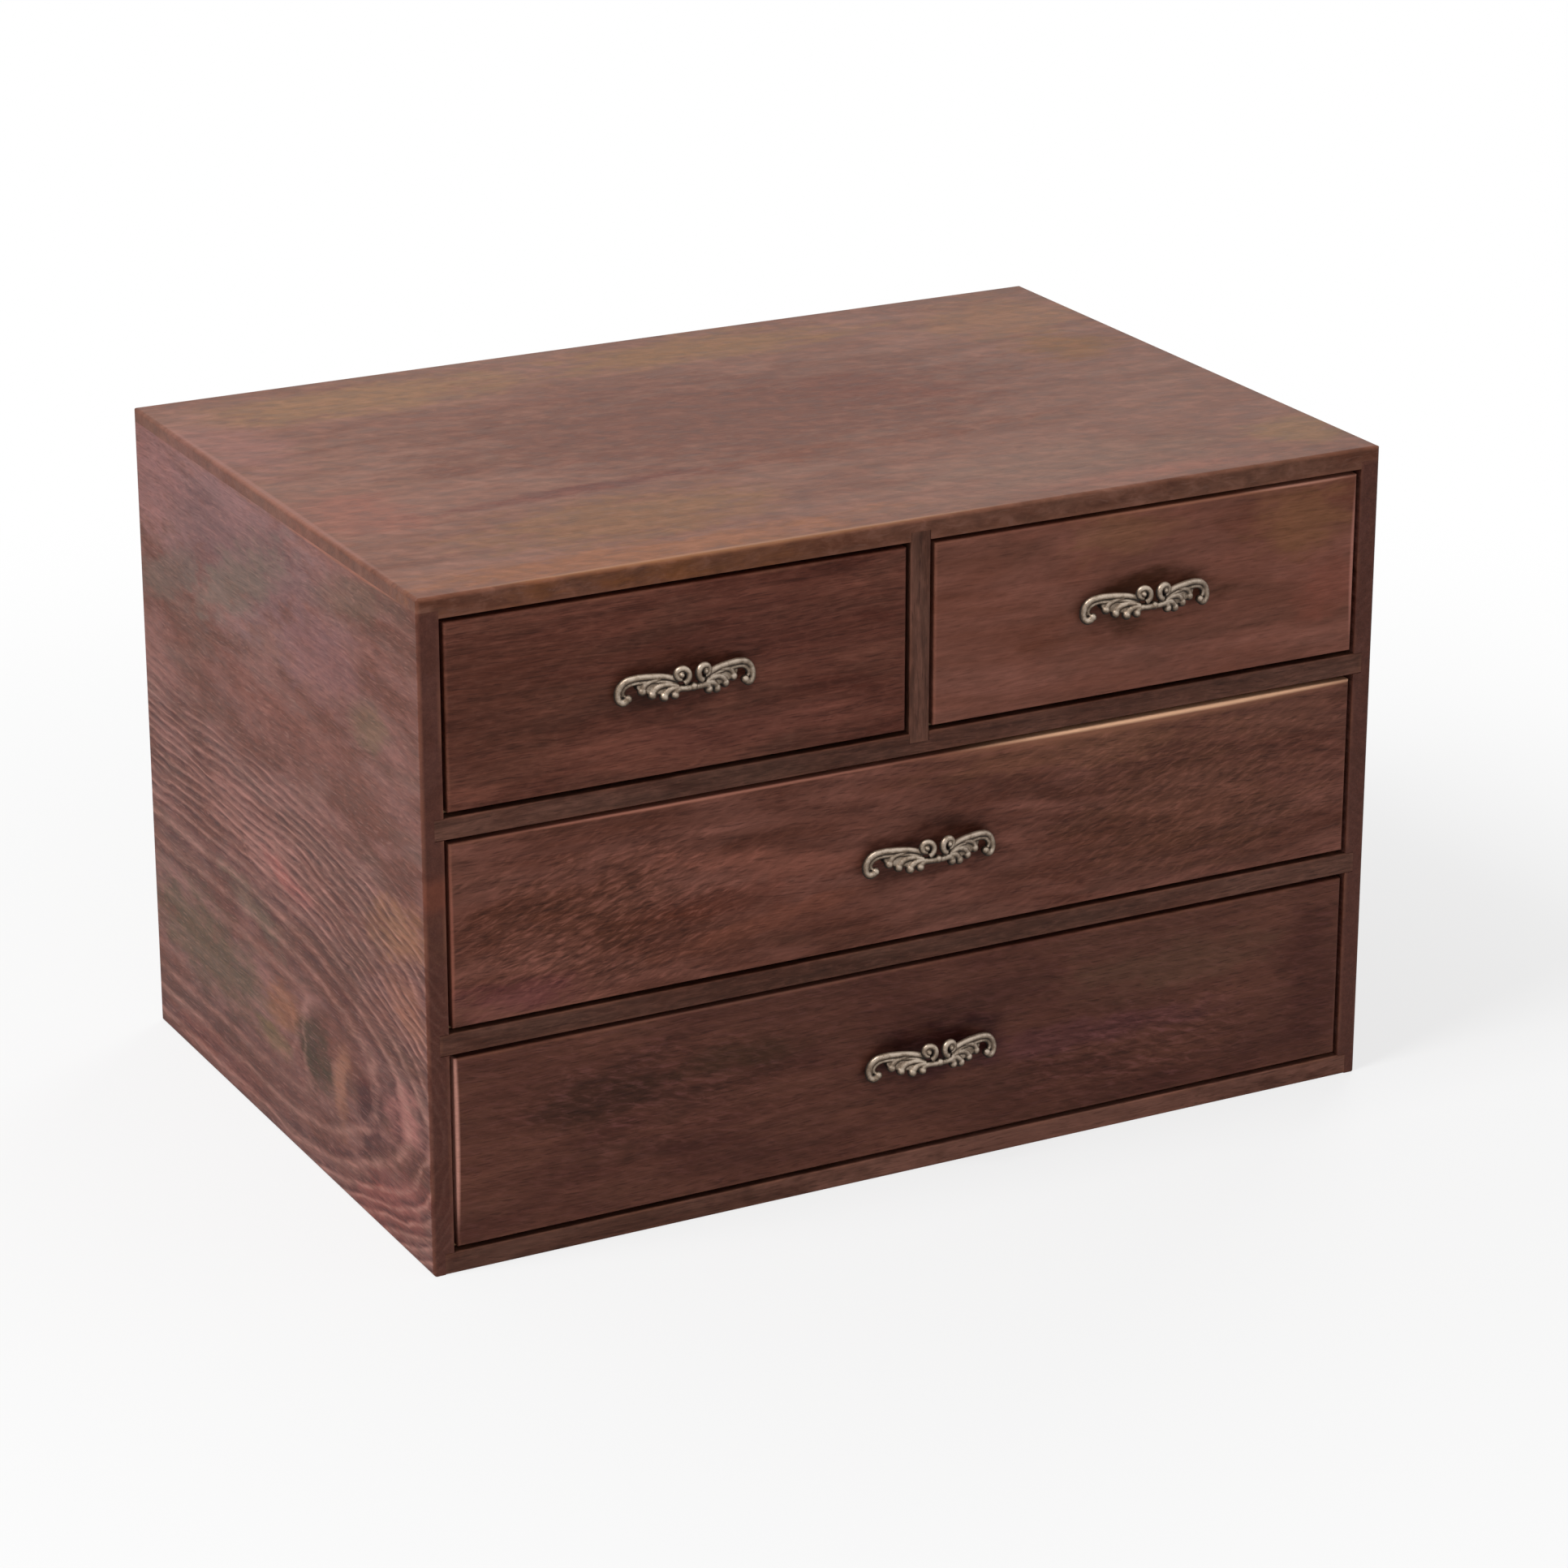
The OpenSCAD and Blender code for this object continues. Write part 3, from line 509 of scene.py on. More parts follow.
FRONTS = {
    "upper_left_drawer": {
        "seed": 11.0,
        "fibre": 0.2,
        "streaks": 0.13,
        "rings": (6.0, 3.0, 50.0, 90.0),
        "heart": (-40.0, -70.0),
        "taper": 0.05,
        "ring_strength": (0.2, 0.2),
        "crest": 0.2,
        "mottle": 0.1,
        "spots": (
            ((-60, 0), (46, 40), 0, "#5b3325", 0.5),
            ((30, 10), (50, 22), 0, "#603329", 0.4),
            ((20, -20), (70, 8), 0, "#744136", 0.5),
            # Dark halo round the pull: painted shadow of the pull, and handling dirt
            ((0.5, 0), (34, 13), 2, "#34160a", 0.8),
        ),
    },
    "upper_right_drawer": {
        "seed": 12.0,
        "blend": 0.2,
        "fibre": 0.1,
        "streaks": 0.06,
        "pores": 0.2,
        "rings": (7.0, 4.0, 50.0, 90.0),
        "heart": (-40.0, 60.0),
        "taper": 0.06,
        "ring_strength": (0.12, 0.2),
        "crest": 0.1,
        "fleck": (8.0, 7.0, 2.0),
        "mottle": 0.08,
        "spots": (
            ((-8, 23), (26, 9), 0, "#865b41", 0.6),
            ((56, 18), (26, 16), 0, "#895b3e", 0.7),
            ((66, -6), (20, 16), 0, "#884d3e", 0.6),
            # Dark halo round the pull: painted shadow of the pull, and handling dirt
            ((-2.5, 0.5), (33, 13), 2, "#3e1f0a", 0.8),
        ),
        # Painted highlights along the arrises
        "lit_arrises": (
            ((78.4, 0), (2.2, 34), "#bd8071", 0.8),
            ((20, 30.4), (60, 1.6), "#a16b54", 0.7),
            ((58, 30.8), (34, 1.9), "#d79b86", 0.7),
        ),
    },
    "middle_drawer": {
        "seed": 13.0,
        "fibre": 0.13,
        "streaks": 0.07,
        "heart": (-140.0, -7.0),
        "taper": 0.17,
        "arch": 1.2,
        "rings": (8.0, 5.0, 50.0, 90.0),
        "ring_strength": (0.32, 0.2),
        "glint": "#a3695b",
        "fleck": (18.0, 6.0, 1.3),
        "mottle": 0.1,
        "spots": (
            ((-112, -4), (70, 34), 0, "mottle", 0.3),
            ((100, 0), (84, 36), 0, "mottle", 0.16),
            ((-112, 0), (46, 22), -8, "#5c3321", 0.5),
            ((100, -4), (64, 26), 0, "#623c29", 0.5),
            ((-48, 4), (56, 5), -10, "#8c5444", 0.6),
            ((-48, -14), (56, 5), 10, "#864e3c", 0.55),
            ((-66, -5), (44, 7), 0, "#602e1f", 0.5),
            ((60, 22), (70, 9), 0, "#82553e", 0.5),
            ((126, 20), (40, 10), 0, "#7e503e", 0.4),
            ((-140, -24), (30, 9), 0, "#743941", 0.4),
            # Dark halo round the pull: painted shadow of the pull, and handling dirt
            ((3, -1.5), (34, 13), 2, "#36160a", 0.8),
        ),
        # Painted highlights along the arrises
        "lit_arrises": (
            ((84, 30.0), (100, 4.2), "#a16b52", 0.6),
            ((96, 30.6), (96, 2.4), "#ffc8a1", 1.0),
            ((-70, 30.6), (110, 1.7), "#b77966", 0.8),
            ((-161.6, 0), (1.4, 34), "#955a4a", 0.6),
        ),
    },
    "lower_drawer": {
        "seed": 14.0,
        "blend": 0.2,
        "smoke": 0.25,
        "fibre": 0.13,
        "streaks": 0.06,
        "heart": (60.0, -38.0),
        "taper": 0.1,
        "rings": (9.0, 5.0, 50.0, 90.0),
        "ring_strength": (0.2, 0.2),
        "crest": 0.2,
        "glint": "#8e5a5b",
        "fleck": (-14.0, 7.0, 1.8),
        "mottle": 0.1,
        "spots": (
            ((-95, 8), (62, 24), 0, "mottle", 0.16),
            ((-110, 9), (34, 10), 10, "#3c2318", 0.7),
            ((-62, 12), (28, 8), 0, "#412a1b", 0.7),
            ((85, -12), (54, 20), 0, "mottle", 0.2),
            ((96, 14), (56, 12), 0, "#634434", 0.6),
            ((60, -4), (80, 6), 0, "#693c44", 0.3),
            # Painted shade along the right end of the front
            ((150, 0), (14, 40), 0, "#47231b", 0.6),
            # Dark halo round the pull: painted shadow of the pull, and handling dirt
            ((4.5, 0), (34, 13), 2, "#2c0a0a", 0.8),
        ),
        # Painted highlights along the arrises
        "lit_arrises": (((-161.8, 8), (2.0, 42), "#cf9484", 0.85), ((-60, 32), (110, 1.3), "#805547", 0.7)),
    },
}


PLANED_NOISE = {
    "bend": (120, 25, {"Detail": 2.0}),
    "fine": (20, 0.6, {"Detail": 3.0, "Roughness": 0.6}),
}
PLANED_SHIFT = (173.0, 61.0, 29.0)
# Growth lines of the softwood, in mm: how far apart, and where their heart lies behind the face and to one side
PLANED_RING, HEART_BEHIND, HEART_ASIDE = 2.6, 45.0, 220.0


def planed_softwood(node, along, across, into, shades, seed):
    """Softwood, planed and left bare: pale, with close and wavy growth lines, and matt."""
    material, tree = new_material(f"planed softwood {node}".replace("_", " "))
    place, arris, _ = board_space(tree, node, along, across, into)
    shifted = add(tree, "VectorMath", {0: place, 1: [seed * part for part in PLANED_SHIFT]}, operation="ADD")
    noise = stretched_noise(tree, shifted, PLANED_NOISE)
    xyz = add(tree, "SeparateXYZ", {0: place})
    depth = add(tree, "Math", {0: xyz.outputs["Z"], 1: HEART_BEHIND}, operation="ADD")
    off = add(tree, "Math", {0: xyz.outputs["Y"], 1: HEART_ASIDE}, operation="ADD")
    radius = add(tree, "CombineXYZ", {"X": off, "Y": depth})
    radius = add(tree, "VectorMath", {0: radius}, operation="LENGTH")
    radius = add(tree, "Math", {0: noise["bend"], 1: 14.0, 2: radius}, operation="MULTIPLY_ADD")
    ring = add(tree, "Math", {0: radius, 1: 1 / PLANED_RING}, operation="MULTIPLY")
    ring = add(tree, "Math", {0: ring}, operation="FRACT")
    late = add(tree, "MapRange", {"Value": ring, "From Min": 0.1, "From Max": 0.75}, **SMOOTH)
    fall = add(tree, "MapRange", {"Value": ring, "From Min": 0.75, "From Max": 1.0, "To Min": 0.8, "To Max": 0.0})
    late = add(tree, "Math", {0: late, 1: fall}, operation="MULTIPLY")
    fibre = {"Value": noise["fine"], "From Min": 0.3, "From Max": 0.7, "To Min": 0.86, "To Max": 1.12}
    fibre = add(tree, "MapRange", fibre)
    light, dark = (linear(code) for code in shades)
    colour = add(tree, "Mix", {"Factor": late, "A": light, "B": dark}, data_type="RGBA")
    colour = add(tree, "VectorMath", {0: colour, "Scale": fibre}, operation="SCALE")
    edge = add(tree, "MapRange", {"Value": arris, "From Min": 1.0, "From Max": 0.1, "To Max": 0.35})
    colour = add(tree, "Mix", {"Factor": edge, "A": colour, "B": light}, data_type="RGBA")
    bump = add(tree, "Bump", {"Height": noise["fine"], "Strength": 0.4, "Distance": 0.12 * MM})
    rough = add(tree, "MapRange", {"Value": late, "To Min": 0.66, "To Max": 0.56})
    finish = {"Base Color": colour, "Roughness": rough, "IOR": WOOD_IOR, "Normal": bump}
    add(tree, "OutputMaterial", {"Surface": add(tree, "BsdfPrincipled", finish)})
    return material


def drawn_steel(name, shade, roughness):
    """Steel wire, headed into nails and screws and lightly tarnished: grey, with small dull spots."""
    material, tree = new_material(name)
    coordinate = add(tree, "TexCoord").outputs["Object"]
    # Tarnish spots about 0.6 mm across
    spots = add(tree, "TexNoise", {"Vector": coordinate, "Scale": 1 / (0.6 * MM), "Detail": 3.0, "Roughness": 0.6})
    dull = add(tree, "MapRange", {"Value": spots, "From Min": 0.45, "From Max": 0.7})
    colour = add(tree, "Mix", {"Factor": dull, "A": shade, "B": linear("#5a5048")}, data_type="RGBA")
    rough = add(tree, "MapRange", {"Value": dull, "To Min": roughness, "To Max": roughness + 0.25})
    bump = add(tree, "Bump", {"Height": spots, "Strength": 0.3, "Distance": 0.03 * MM})
    finish = {"Base Color": colour, "Metallic": 1.0, "Roughness": rough, "Normal": bump}
    add(tree, "OutputMaterial", {"Surface": add(tree, "BsdfPrincipled", finish)})
    return material


# -------------------- cast pulls

# The ornament is drawn in steps: 48 over its whole length, 24 from its middle to a tip, and 13 for its height. The
# screws stand 2 steps above its zero.
LENGTH_STEPS, TIP, HEIGHT_STEPS, SCREW_LINE = 48, 24, 13, 2
# How round the bow is, from 1 for two straight halves
BOW_POWER = 1.15
# Bead where the halves meet: place, radius and lift in steps
MIDDLE_BEAD = ((0, 0.7), 1.45, -0.1)
# Balls at the corners of a web, and how far their middles lie under the strands, in steps
WEB_BALL, WEB_LIFT = 0.6, -0.45


def antique_brass():
    """Brass, sand cast, darkened in a bath and rubbed back: pale rubbed ridges, brown-black hollows, and a grain that
    breaks up the shine. The attribute it reads also paints highlight on the upper front of each strand and shade on
    its underside."""
    pulls = bpy.context.scene.cabinet_pulls
    material, tree = new_material("antique cast brass")
    coordinate = add(tree, "TexCoord").outputs["Object"]
    patina_and_shade = add(tree, "Attribute", attribute_name="patina_and_shade").outputs["Fac"]
    # Casting grain 0.35 mm across, and patches of patina 2.5 mm across
    grain = add(tree, "TexNoise", {"Vector": coordinate, "Scale": 1 / (0.35 * MM), "Detail": 2.0, "Roughness": 0.6})
    patch = add(tree, "TexNoise", {"Vector": coordinate, "Scale": 1 / (2.5 * MM), "Detail": 3.0, "Roughness": 0.6})
    # Patina in the hollows, with painted shade on the undersides and painted highlight on the upper crowns, from the
    # attribute
    rubbed = add(tree, "Math", {0: patina_and_shade, 1: -1.7, 2: 0.62}, operation="MULTIPLY_ADD")
    rubbed = add(tree, "Math", {0: patch, 1: 0.7, 2: rubbed}, operation="MULTIPLY_ADD")
    rubbed = add(tree, "Math", {0: grain, 1: 0.4, 2: rubbed}, operation="MULTIPLY_ADD")
    rubbed = add(tree, "MapRange", {"Value": rubbed, "From Min": 0.4, "From Max": 1.15})
    ramp = add(tree, "ValToRGB", {"Fac": rubbed})
    stops = ramp.color_ramp.elements
    stops[0].color, stops[1].color = (*pulls.patina_and_shade, 1), (*pulls.ridge, 1)
    for position, code in ((0.3, "#42352a"), (0.66, "#83705e")):
        stops.new(position).color = (*linear(code), 1)
    metal = add(tree, "MapRange", {"Value": rubbed, "To Min": 0.25, "To Max": 0.85})
    rough = add(tree, "MapRange", {"Value": rubbed, "To Min": 0.7, "To Max": 0.34})
    bump = add(tree, "Bump", {"Height": grain, "Strength": 0.35, "Distance": 0.06 * MM})
    finish = {"Base Color": ramp.outputs["Color"], "Metallic": metal, "Roughness": rough, "Normal": bump}
    add(tree, "OutputMaterial", {"Surface": add(tree, "BsdfPrincipled", finish)})
    return material


def bow(u):
    """How far the middle of the metal stands off the drawer front, in mm, u steps from the middle of the pull."""
    pulls = bpy.context.scene.cabinet_pulls
    return pulls.foot + (pulls.bow - pulls.foot) * (1 - (abs(u) / TIP) ** BOW_POWER)


def on_bow(u, v, lift=0.0):
    """Point of the ornament in metres, from the point between the screws."""
    pulls = bpy.context.scene.cabinet_pulls
    step = pulls.length / LENGTH_STEPS
    return Vector((u * step, -bow(u) - lift * step, (v - SCREW_LINE) * pulls.height / HEIGHT_STEPS))


def spiral(middle, start, end, count):
    """Places round a middle, from one radius and angle to another."""
    places = []
    for i in range(count + 1):
        s = i / count
        r = start[0] * (end[0] / start[0]) ** s
        a = math.radians(start[1] + (end[1] - start[1]) * s)
        places.append((middle[0] + r * math.cos(a), middle[1] + r * math.sin(a)))
    return places


def curve(a, b, c, d, count):
    """Places along a curve through two ends and towards two handles."""
    places = []
    for i in range(count + 1):
        t = i / count
        k = ((1 - t) ** 3, 3 * (1 - t) ** 2 * t, 3 * (1 - t) * t * t, t**3)
        places.append(tuple(k[0] * a[n] + k[1] * b[n] + k[2] * c[n] + k[3] * d[n] for n in (0, 1)))
    return places


def half_ornament():
    """Strands, beads and webs of one half of the ornament. A strand is its places, its radii and its lifts at both
    ends; a bead is its place, radius and lift; a web is its corners."""
    strands = [
        # Middle scroll
        (spiral((4, 4.9), (2.8, 252), (1.2, -100), 22), (1.15, 0.9), (0.4, 0.6)),
        # Ridge over the leaf that runs on into the outer scroll
        (
            curve((4.7, 3.1), (8, 5.1), (13, 4.9), (16.6, 4.8), 8)
            + curve((18.4, 4.5), (23.6, 3.9), (23.9, -3), (21.2, -2.7), 9)
            + [(20, -1.7)],
            (0.95, 1.3),
            (-0.2, 0.2),
        ),
        # Thin line under the ridge, into the hollow of the outer scroll
        (
            curve((5.6, 1.9), (9, 3.7), (13.5, 3.2), (17.2, 3.1), 8)
            + curve((18.2, 3), (20.4, 2.7), (22, 0.8), (21.1, -0.8), 7),
            (0.55, 0.8),
            (-0.1, -0.1),
        ),
    ]
    beads = [((4, 4.9), 1, 0.9), ((19.9, -1.6), 1.35, 0.2)]
    # Ribs of the leaf, from the lower lip and the ridge, that turn down and end in a drop
    for places, radii, fall in (
        (curve((0.2, 0.8), (2.6, -0.3), (5, 1.8), (5.7, -1.5), 10), (1.1, 1.2), 0.2),
        (curve((4.4, 0.8), (6.6, 1), (8.2, 0), (8.8, -1.9), 8), (0.95, 1.3), 0.4),
        (curve((4.6, 1.2), (7.6, 2.6), (11.8, 2), (12.3, -1.1), 10), (0.8, 1.3), 0.7),
        (curve((10, 4.2), (13, 3.4), (15.2, 3), (15.4, 0.3), 8), (0.7, 1.25), 0.5),
    ):
        strands.append((places, radii, (0, -fall)))
        beads.append((places[-1], radii[1] * 1.22, -fall))
    webs = [
        [(5, 3.6), (10.5, 4.6), (10.5, -0.6), (5.6, 0)],
        [(10.5, 4.6), (16.8, 4.6), (16.6, 1.6), (15.4, 0), (10.5, -0.2)],
    ]
    return strands, beads, webs


def tubes(strands):
    """Mesh of round tubes along the strands."""
    step = bpy.context.scene.cabinet_pulls.length / LENGTH_STEPS
    data = bpy.data.curves.new("strands", "CURVE")
    data.dimensions, data.bevel_depth, data.bevel_resolution = "3D", 1.0, 5
    data.resolution_u, data.use_fill_caps = 4, True
    for places, radii, lifts in strands:
        line = data.splines.new("BEZIER")
        line.bezier_points.add(len(places) - 1)
        for i, (point, (u, v)) in enumerate(zip(line.bezier_points, places)):
            s = i / (len(places) - 1)
            point.co = on_bow(u, v, lifts[0] + (lifts[1] - lifts[0]) * s)
            point.radius = (radii[0] + (radii[1] - radii[0]) * s) * step
            point.handle_left_type = point.handle_right_type = "AUTO"
    obj = new_object("strands", data)
    mesh = bpy.data.meshes.new_from_object(obj.evaluated_get(bpy.context.evaluated_depsgraph_get()))
    bpy.data.objects.remove(obj)
    bpy.data.curves.remove(data)
    return mesh


def casting():
    """The pull about the point between its screws: strands, beads and webs run together as one casting."""
    pulls = bpy.context.scene.cabinet_pulls
    step = pulls.length / LENGTH_STEPS
    strands, beads, webs = half_ornament()
    mesh = tubes(strands)
    bm = bmesh.new()
    bm.from_mesh(mesh)
    bpy.data.meshes.remove(mesh)
    for (u, v), radius, lift in beads:
        place = Matrix.Translation(on_bow(u, v, lift))
        bmesh.ops.create_icosphere(bm, subdivisions=3, radius=radius * step, matrix=place)
    for corners in webs:
        web, mesh = bmesh.new(), bpy.data.meshes.new("web")
        for u, v in corners:
            place = Matrix.Translation(on_bow(u, v, WEB_LIFT))
            bmesh.ops.create_icosphere(web, subdivisions=2, radius=WEB_BALL * step, matrix=place)
        hull = bmesh.ops.convex_hull(web, input=web.verts[:])
        inside = [part for part in hull["geom_interior"] if isinstance(part, bmesh.types.BMVert)]
        bmesh.ops.delete(web, geom=inside, context="VERTS")
        web.to_mesh(mesh)
        web.free()
        bm.from_mesh(mesh)
        bpy.data.meshes.remove(mesh)
    # Post that stands on the drawer front round a screw
    height = bow(pulls.pitch / 2 / pulls.length * LENGTH_STEPS) - 0.5 * MM
    turned = Matrix.Translation((pulls.pitch / 2, -height / 2, 0)) @ Matrix.Rotation(math.pi / 2, 4, "X")
    bmesh.ops.create_cone(
        bm, cap_ends=True, segments=32, radius1=pulls.post, radius2=pulls.post, depth=height, matrix=turned
    )
    bmesh.ops.mirror(bm, geom=bm.verts[:] + bm.edges[:] + bm.faces[:], matrix=Matrix(), merge_dist=0.0, axis="X")
    (u, v), radius, lift = MIDDLE_BEAD
    bmesh.ops.create_icosphere(
        bm, subdivisions=3, radius=radius * step, matrix=Matrix.Translation(on_bow(u, v, lift))
    )
    bmesh.ops.recalc_face_normals(bm, faces=bm.faces)
    mesh = bpy.data.meshes.new("casting")
    bm.to_mesh(mesh)
    bm.free()

    # Run together in voxels, smoothed as sand leaves it, and thinned
    obj = new_object("casting", mesh)
    remesh = obj.modifiers.new("metal", "REMESH")
    remesh.mode, remesh.voxel_size = "VOXEL", 0.16 * MM
    soften = obj.modifiers.new("sand", "SMOOTH")
    soften.factor, soften.iterations = 0.5, 3
    thin = obj.modifiers.new("thin", "DECIMATE")
    thin.ratio = 0.45
    mesh = bpy.data.meshes.new_from_object(obj.evaluated_get(bpy.context.evaluated_depsgraph_get()))
    bpy.data.objects.remove(obj)
    mesh.polygons.foreach_set("use_smooth", [True] * len(mesh.polygons))
    note_patina_and_shade(mesh)
    return mesh


def note_patina_and_shade(mesh):
    """Writes how closed in each point is, as patina, and how far it is turned from the upper front, as painted shade,
    into the point attribute that antique_brass reads: 0 on the upper crown of a ridge and about 1 in a crease."""
    # Reach and count of the rays for the patina, and the way, to the front and up, that the painted highlight faces
    reach, rays, lit_way = 3.0 * MM, 28, Vector((0, -0.83, 0.56))
    tree = BVHTree.FromPolygons([v.co for v in mesh.vertices], [p.vertices for p in mesh.polygons])
    golden = math.pi * (3 - math.sqrt(5))
    # Directions spread over a half sphere, denser towards its top
    spread = []
    for i in range(rays):
        r = math.sqrt((i + 0.5) / rays)
        spread.append((r * math.cos(i * golden), r * math.sin(i * golden), math.sqrt(1 - r * r)))
    values = []
    for vertex in mesh.vertices:
        normal = vertex.normal
        side = normal.orthogonal().normalized()
        other = normal.cross(side)
        start = vertex.co + normal * 0.02 * MM
        closed = 0.0
        for x, y, z in spread:
            hit = tree.ray_cast(start, side * x + other * y + normal * z, reach)
            if hit[0] is not None:
                closed += 1 - math.sqrt(hit[3] / reach)
        # The second term is painted shade: points turned from the upper front darken, so the upper crowns keep a
        # painted highlight
        values.append(closed / rays + 0.5 * (1 - max(0.0, normal.dot(lit_way))))
    mesh.attributes.new("patina_and_shade", "FLOAT", "POINT").data.foreach_set("value", values)


# -------------------- settings


def tint(name, description, code):
    """Property of one colour."""
    return bpy.props.FloatVectorProperty(
        name=name, description=description, default=linear(code), subtype="COLOR", size=3, min=0, max=1
    )


def span(name, description, mm):
    """Property of one length."""
    return bpy.props.FloatProperty(name=name, description=description, default=mm * MM, min=0, unit="LENGTH")


class CabinetStain(bpy.types.PropertyGroup):
    """Colours of the stained boards."""

    end_grain: tint("End grain", "Stain where the ends of the grain show", "#57332a")
    pore: tint("Pores", "Stain and wax that filled the open pores", "#1d0f0c")
    rubbed: tint("Rubbed arrises", "Wood where handling has rubbed the stain thin", "#94604a")
    wear: bpy.props.FloatProperty(
        name="Wear", description="How far the arrises are rubbed", default=1.0, min=0, max=2, subtype="FACTOR"
    )


# Boards that take one stain, and the colours of its light and its dark wood
BOARD_STAINS = {
    "side": ("Sides", "#7b5048", "#5e3225"),
    "top": ("Top", "#775041", "#653c2c"),
    "rail": ("Shelves, divider and base", "#654337", "#4c2c21"),
    "upper_left": ("Upper left front", "#744436", "#542a1f"),
    "upper_right": ("Upper right front", "#8e5b4d", "#714131"),
    "middle": ("Middle front", "#815144", "#603629"),
    "lower": ("Lower front", "#6b4133", "#512c23"),
}
for tone, (boards, light, dark) in BOARD_STAINS.items():
    CabinetStain.__annotations__[f"{tone}_light"] = tint(f"{boards}, light", "Stain on the light wood", light)
    CabinetStain.__annotations__[f"{tone}_dark"] = tint(f"{boards}, dark", "Stain on the dark wood", dark)


class CabinetPulls(bpy.types.PropertyGroup):
    """Sizes and colours of the cast pulls."""

    length: span("Length", "Length of the casting over its outer scrolls", 48)
    height: span("Height", "Height that the steps of the ornament are drawn to", 13)
    bow: span("Bow", "How far its middle stands off the drawer front", 7.3)
    foot: span("Foot", "How far its tips stand off the drawer front", 1.3)
    pitch: span("Screw pitch", "Distance between the two screws", 30)
    post: span("Post radius", "Radius of the posts round the screws", 2.1)
    # This pale colour also serves as painted highlight on the upper crowns of the strands
    ridge: tint("Ridges", "Metal that hands have rubbed bright", "#bfae9d")
    # This dark colour also serves as painted shade on the undersides of the strands
    patina_and_shade: tint("Hollows", "Dark patina left in the hollows", "#211811")


class CabinetStudio(bpy.types.PropertyGroup):
    """Light round the cabinet."""

    key: bpy.props.FloatProperty(
        name="Key light", description="Power of the soft lamp at the upper left", default=27, min=0, unit="POWER"
    )
    room: bpy.props.FloatProperty(
        name="Room light", description="Strength of the white room on matt surfaces", default=0.4, min=0, max=2
    )
    fill: bpy.props.FloatProperty(
        name="Fill light", description="Power of the weak lamp at the right rear", default=11, min=0, unit="POWER"
    )
    floor: tint("Floor", "Paper that the cabinet stands on", "#dcdcdc")


# -------------------- operators


class CABINET_OT_stain_case(bpy.types.Operator):
    """Stains the sides, top, base, shelves and divider"""

    bl_idname = "cabinet.stain_case"
    bl_label = "Stain the case"

    def execute(self, context):
        for node, (along, across, into, look) in CASE_BOARDS.items():
            wear(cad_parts[node], stained_hardwood(node, along, across, into, look))
        return {"FINISHED"}


class CABINET_OT_stain_fronts(bpy.types.Operator):
    """Stains the four drawer fronts"""

    bl_idname = "cabinet.stain_fronts"
    bl_label = "Stain the drawer fronts"

    def execute(self, context):
        for drawer, look in FRONTS.items():
            node = f"{drawer}_front"
            look = {**look, "tone": drawer.removesuffix("_drawer")}
            wear(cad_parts[node], stained_hardwood(node, X, Z, Y, look))
        return {"FINISHED"}


class CABINET_OT_plane_boxes(bpy.types.Operator):
    """Finishes the drawer boxes and the back panel in bare wood"""

    bl_idname = "cabinet.plane_boxes"
    bl_label = "Plane the drawer boxes"

    def execute(self, context):
        box, bottom, back = ("#c9a27a", "#a87c52"), ("#bf9468", "#a37749"), ("#8a6648", "#6e4e36")
        pieces = (
            ("left_wall", Y, Z, X, box),
            ("right_wall", Y, Z, -X, box),
            ("back", X, Z, -Y, box),
            ("bottom", X, Y, -Z, bottom),
        )
        seed = 1
        for drawer in DRAWERS:
            for piece, along, across, into, shades in pieces:
                node = f"{drawer}_{piece}"
                wear(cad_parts[node], planed_softwood(node, along, across, into, shades, seed))
                seed += 1
        wear(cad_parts["back_panel"], planed_softwood("back_panel", Z, X, -Y, back, 31))
        return {"FINISHED"}


class CABINET_OT_drive_fasteners(bpy.types.Operator):
    """Finishes the nails and screws in steel"""

    bl_idname = "cabinet.drive_fasteners"
    bl_label = "Finish the nails and screws"

    def execute(self, context):
        nail = drawn_steel("bright steel nail wire", linear("#8f8a84"), 0.4)
        screw = drawn_steel("zinc plated steel screw", linear("#a9a59d"), 0.32)
        wear(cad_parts["back_nails"], nail)
        for drawer in DRAWERS:
            wear(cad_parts[f"{drawer}_nails"], nail)
            wear(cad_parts[f"{drawer}_screws"], screw)
        return {"FINISHED"}


class CABINET_OT_cast_pulls(bpy.types.Operator):
    """Casts the scroll pull and puts one on each drawer front"""

    bl_idname = "cabinet.cast_pulls"
    bl_label = "Cast the pulls"

    def execute(self, context):
        pattern, brass = casting(), antique_brass()
        for drawer in DRAWERS:
            mesh = pattern.copy()
            low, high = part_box(f"{drawer}_screws")
            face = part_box(f"{drawer}_front")[0].y
            mesh.transform(Matrix.Translation(((low.x + high.x) / 2, face, (low.z + high.z) / 2)))
            pull = new_object(f"{drawer}_scroll_pull", mesh)
            wear(pull, brass)
            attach(pull, drawer)
            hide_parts(f"{drawer}_pull")
        bpy.data.meshes.remove(pattern)
        return {"FINISHED"}


# Studio, in metres: middle of the cabinet, how far off the lamps hang and how wide they are, and half the floor
MIDDLE = Vector((0, 0, 0.11))
LAMP_AWAY, LAMP_WIDTH, FLOOR_HALF = 1.8, 0.7, 6
# Camera: place and aim in metres, lens and sensor in mm
CAMERA_AT = Vector((-0.730158, -1.404465, 0.682568))
CAMERA_AIM = Vector((0.00784585, -0.00961709, 0.0969804))
CAMERA_LENS, CAMERA_SENSOR = 115.49, 36


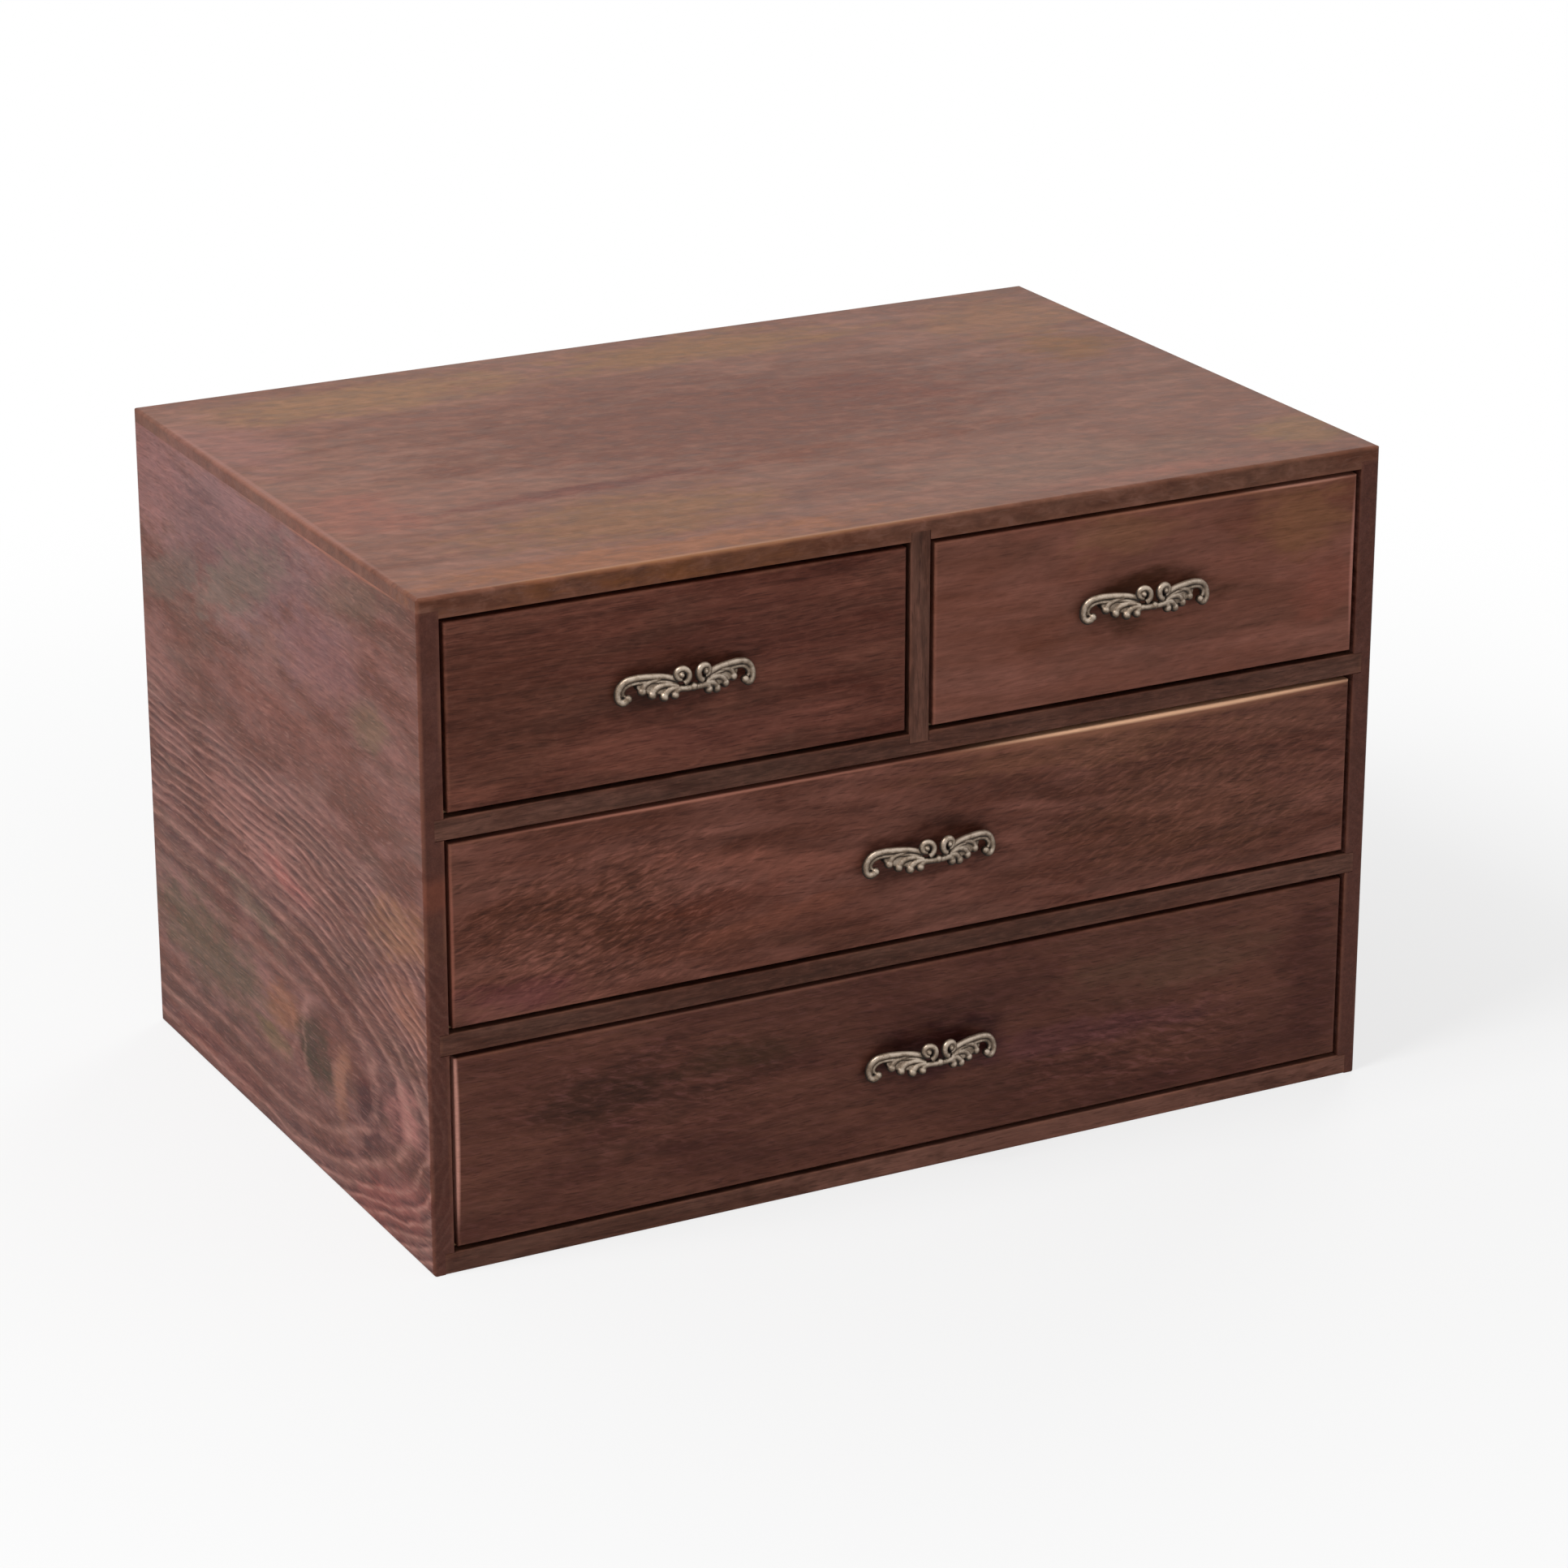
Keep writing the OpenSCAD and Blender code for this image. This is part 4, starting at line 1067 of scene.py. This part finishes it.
class CABINET_OT_build_studio(bpy.types.Operator):
    """Lays the floor, hangs the lamps and sets the camera"""

    bl_idname = "cabinet.build_studio"
    bl_label = "Build the studio"

    def execute(self, context):
        scene, studio = context.scene, context.scene.cabinet_studio
        scene.view_settings.view_transform = "Standard"

        # White room: plain white where it is seen, mirrored or seen through, and softer on matt surfaces
        world = bpy.data.worlds.new("white room")
        scene.world, world.use_nodes = world, True
        tree = world.node_tree
        tree.nodes.clear()
        path = add(tree, "LightPath").outputs
        seen = add(tree, "Math", {0: path["Is Camera Ray"], 1: path["Is Glossy Ray"]}, operation="MAXIMUM")
        seen = add(tree, "Math", {0: seen, 1: path["Is Transmission Ray"]}, operation="MAXIMUM")
        strength = add(tree, "MapRange", {"Value": seen, "To Min": studio.room, "To Max": 1.0})
        room = add(tree, "Background", {"Color": (1, 1, 1), "Strength": strength})
        add(tree, "OutputWorld", {"Surface": room})

        # Floor: pale paper, lightened where the camera sees it so that it runs into the white room
        material, tree = new_material("white paper floor")
        paper = add(tree, "BsdfDiffuse", {"Color": studio.floor})
        white = add(tree, "Emission", {"Color": (1, 1, 1), "Strength": 1.0})
        coordinate = add(tree, "TexCoord").outputs["Object"]
        fade = add(tree, "VectorMath", {0: coordinate}, operation="LENGTH")
        fade = {"Value": fade, "From Min": 0.22, "From Max": 0.7, "To Min": 0.72, "To Max": 1.0}
        fade = add(tree, "MapRange", fade, **SMOOTH)
        camera_ray = add(tree, "LightPath").outputs["Is Camera Ray"]
        fade = add(tree, "Math", {0: fade, 1: camera_ray}, operation="MULTIPLY")
        surface = add(tree, "MixShader", {0: fade, 1: paper, 2: white})
        add(tree, "OutputMaterial", {"Surface": surface})
        mesh = bpy.data.meshes.new("paper")
        bm = bmesh.new()
        bmesh.ops.create_grid(bm, x_segments=1, y_segments=1, size=FLOOR_HALF)
        bm.to_mesh(mesh)
        bm.free()
        floor = new_object("floor", mesh)
        wear(floor, material)

        # Soft lamps: one up to the left and a little in front, a weak one behind to the right
        for name, power, away in (
            ("key", studio.key, Vector((-0.593, -0.13, 0.795))),
            ("fill", studio.fill, Vector((0.71, 0.61, 0.35))),
        ):
            light = bpy.data.lights.new(name, "AREA")
            light.energy, light.size = power, LAMP_WIDTH
            lamp = new_object(name, light)
            lamp.location = MIDDLE + away * LAMP_AWAY
            lamp.rotation_euler = away.to_track_quat("Z", "Y").to_euler()
            lamp.visible_glossy = name == "key"

        data = bpy.data.cameras.new("camera")
        data.lens, data.sensor_width = CAMERA_LENS, CAMERA_SENSOR
        camera = new_object("camera", data)
        camera.location = CAMERA_AT
        camera.rotation_euler = (CAMERA_AIM - CAMERA_AT).to_track_quat("-Z", "Y").to_euler()
        scene.camera = camera
        return {"FINISHED"}


class CABINET_PT_looks(bpy.types.Panel):
    """Lists the steps and their settings"""

    bl_idname = "CABINET_PT_looks"
    bl_label = "Cabinet looks"
    bl_space_type = "VIEW_3D"
    bl_region_type = "UI"
    bl_category = "Cabinet"

    def draw(self, context):
        for operator in STEPS:
            self.layout.operator(operator.bl_idname)
        for name, group in SETTINGS.items():
            box = self.layout.box()
            for prop in group.__annotations__:
                box.prop(getattr(context.scene, name), prop)


STEPS = (
    CABINET_OT_stain_case,
    CABINET_OT_stain_fronts,
    CABINET_OT_plane_boxes,
    CABINET_OT_drive_fasteners,
    CABINET_OT_cast_pulls,
    CABINET_OT_build_studio,
)
SETTINGS = {"cabinet_stain": CabinetStain, "cabinet_pulls": CabinetPulls, "cabinet_studio": CabinetStudio}


def register():
    for kind in (*SETTINGS.values(), *STEPS, CABINET_PT_looks):
        bpy.utils.register_class(kind)
    for name, group in SETTINGS.items():
        setattr(bpy.types.Scene, name, bpy.props.PointerProperty(type=group))


def unregister():
    for name in SETTINGS:
        delattr(bpy.types.Scene, name)
    for kind in reversed((*SETTINGS.values(), *STEPS, CABINET_PT_looks)):
        bpy.utils.unregister_class(kind)


def main():
    register()
    bpy.ops.cabinet.stain_case()
    bpy.ops.cabinet.stain_fronts()
    bpy.ops.cabinet.plane_boxes()
    bpy.ops.cabinet.drive_fasteners()
    bpy.ops.cabinet.cast_pulls()
    bpy.ops.cabinet.build_studio()


if __name__ == "__main__":
    main()
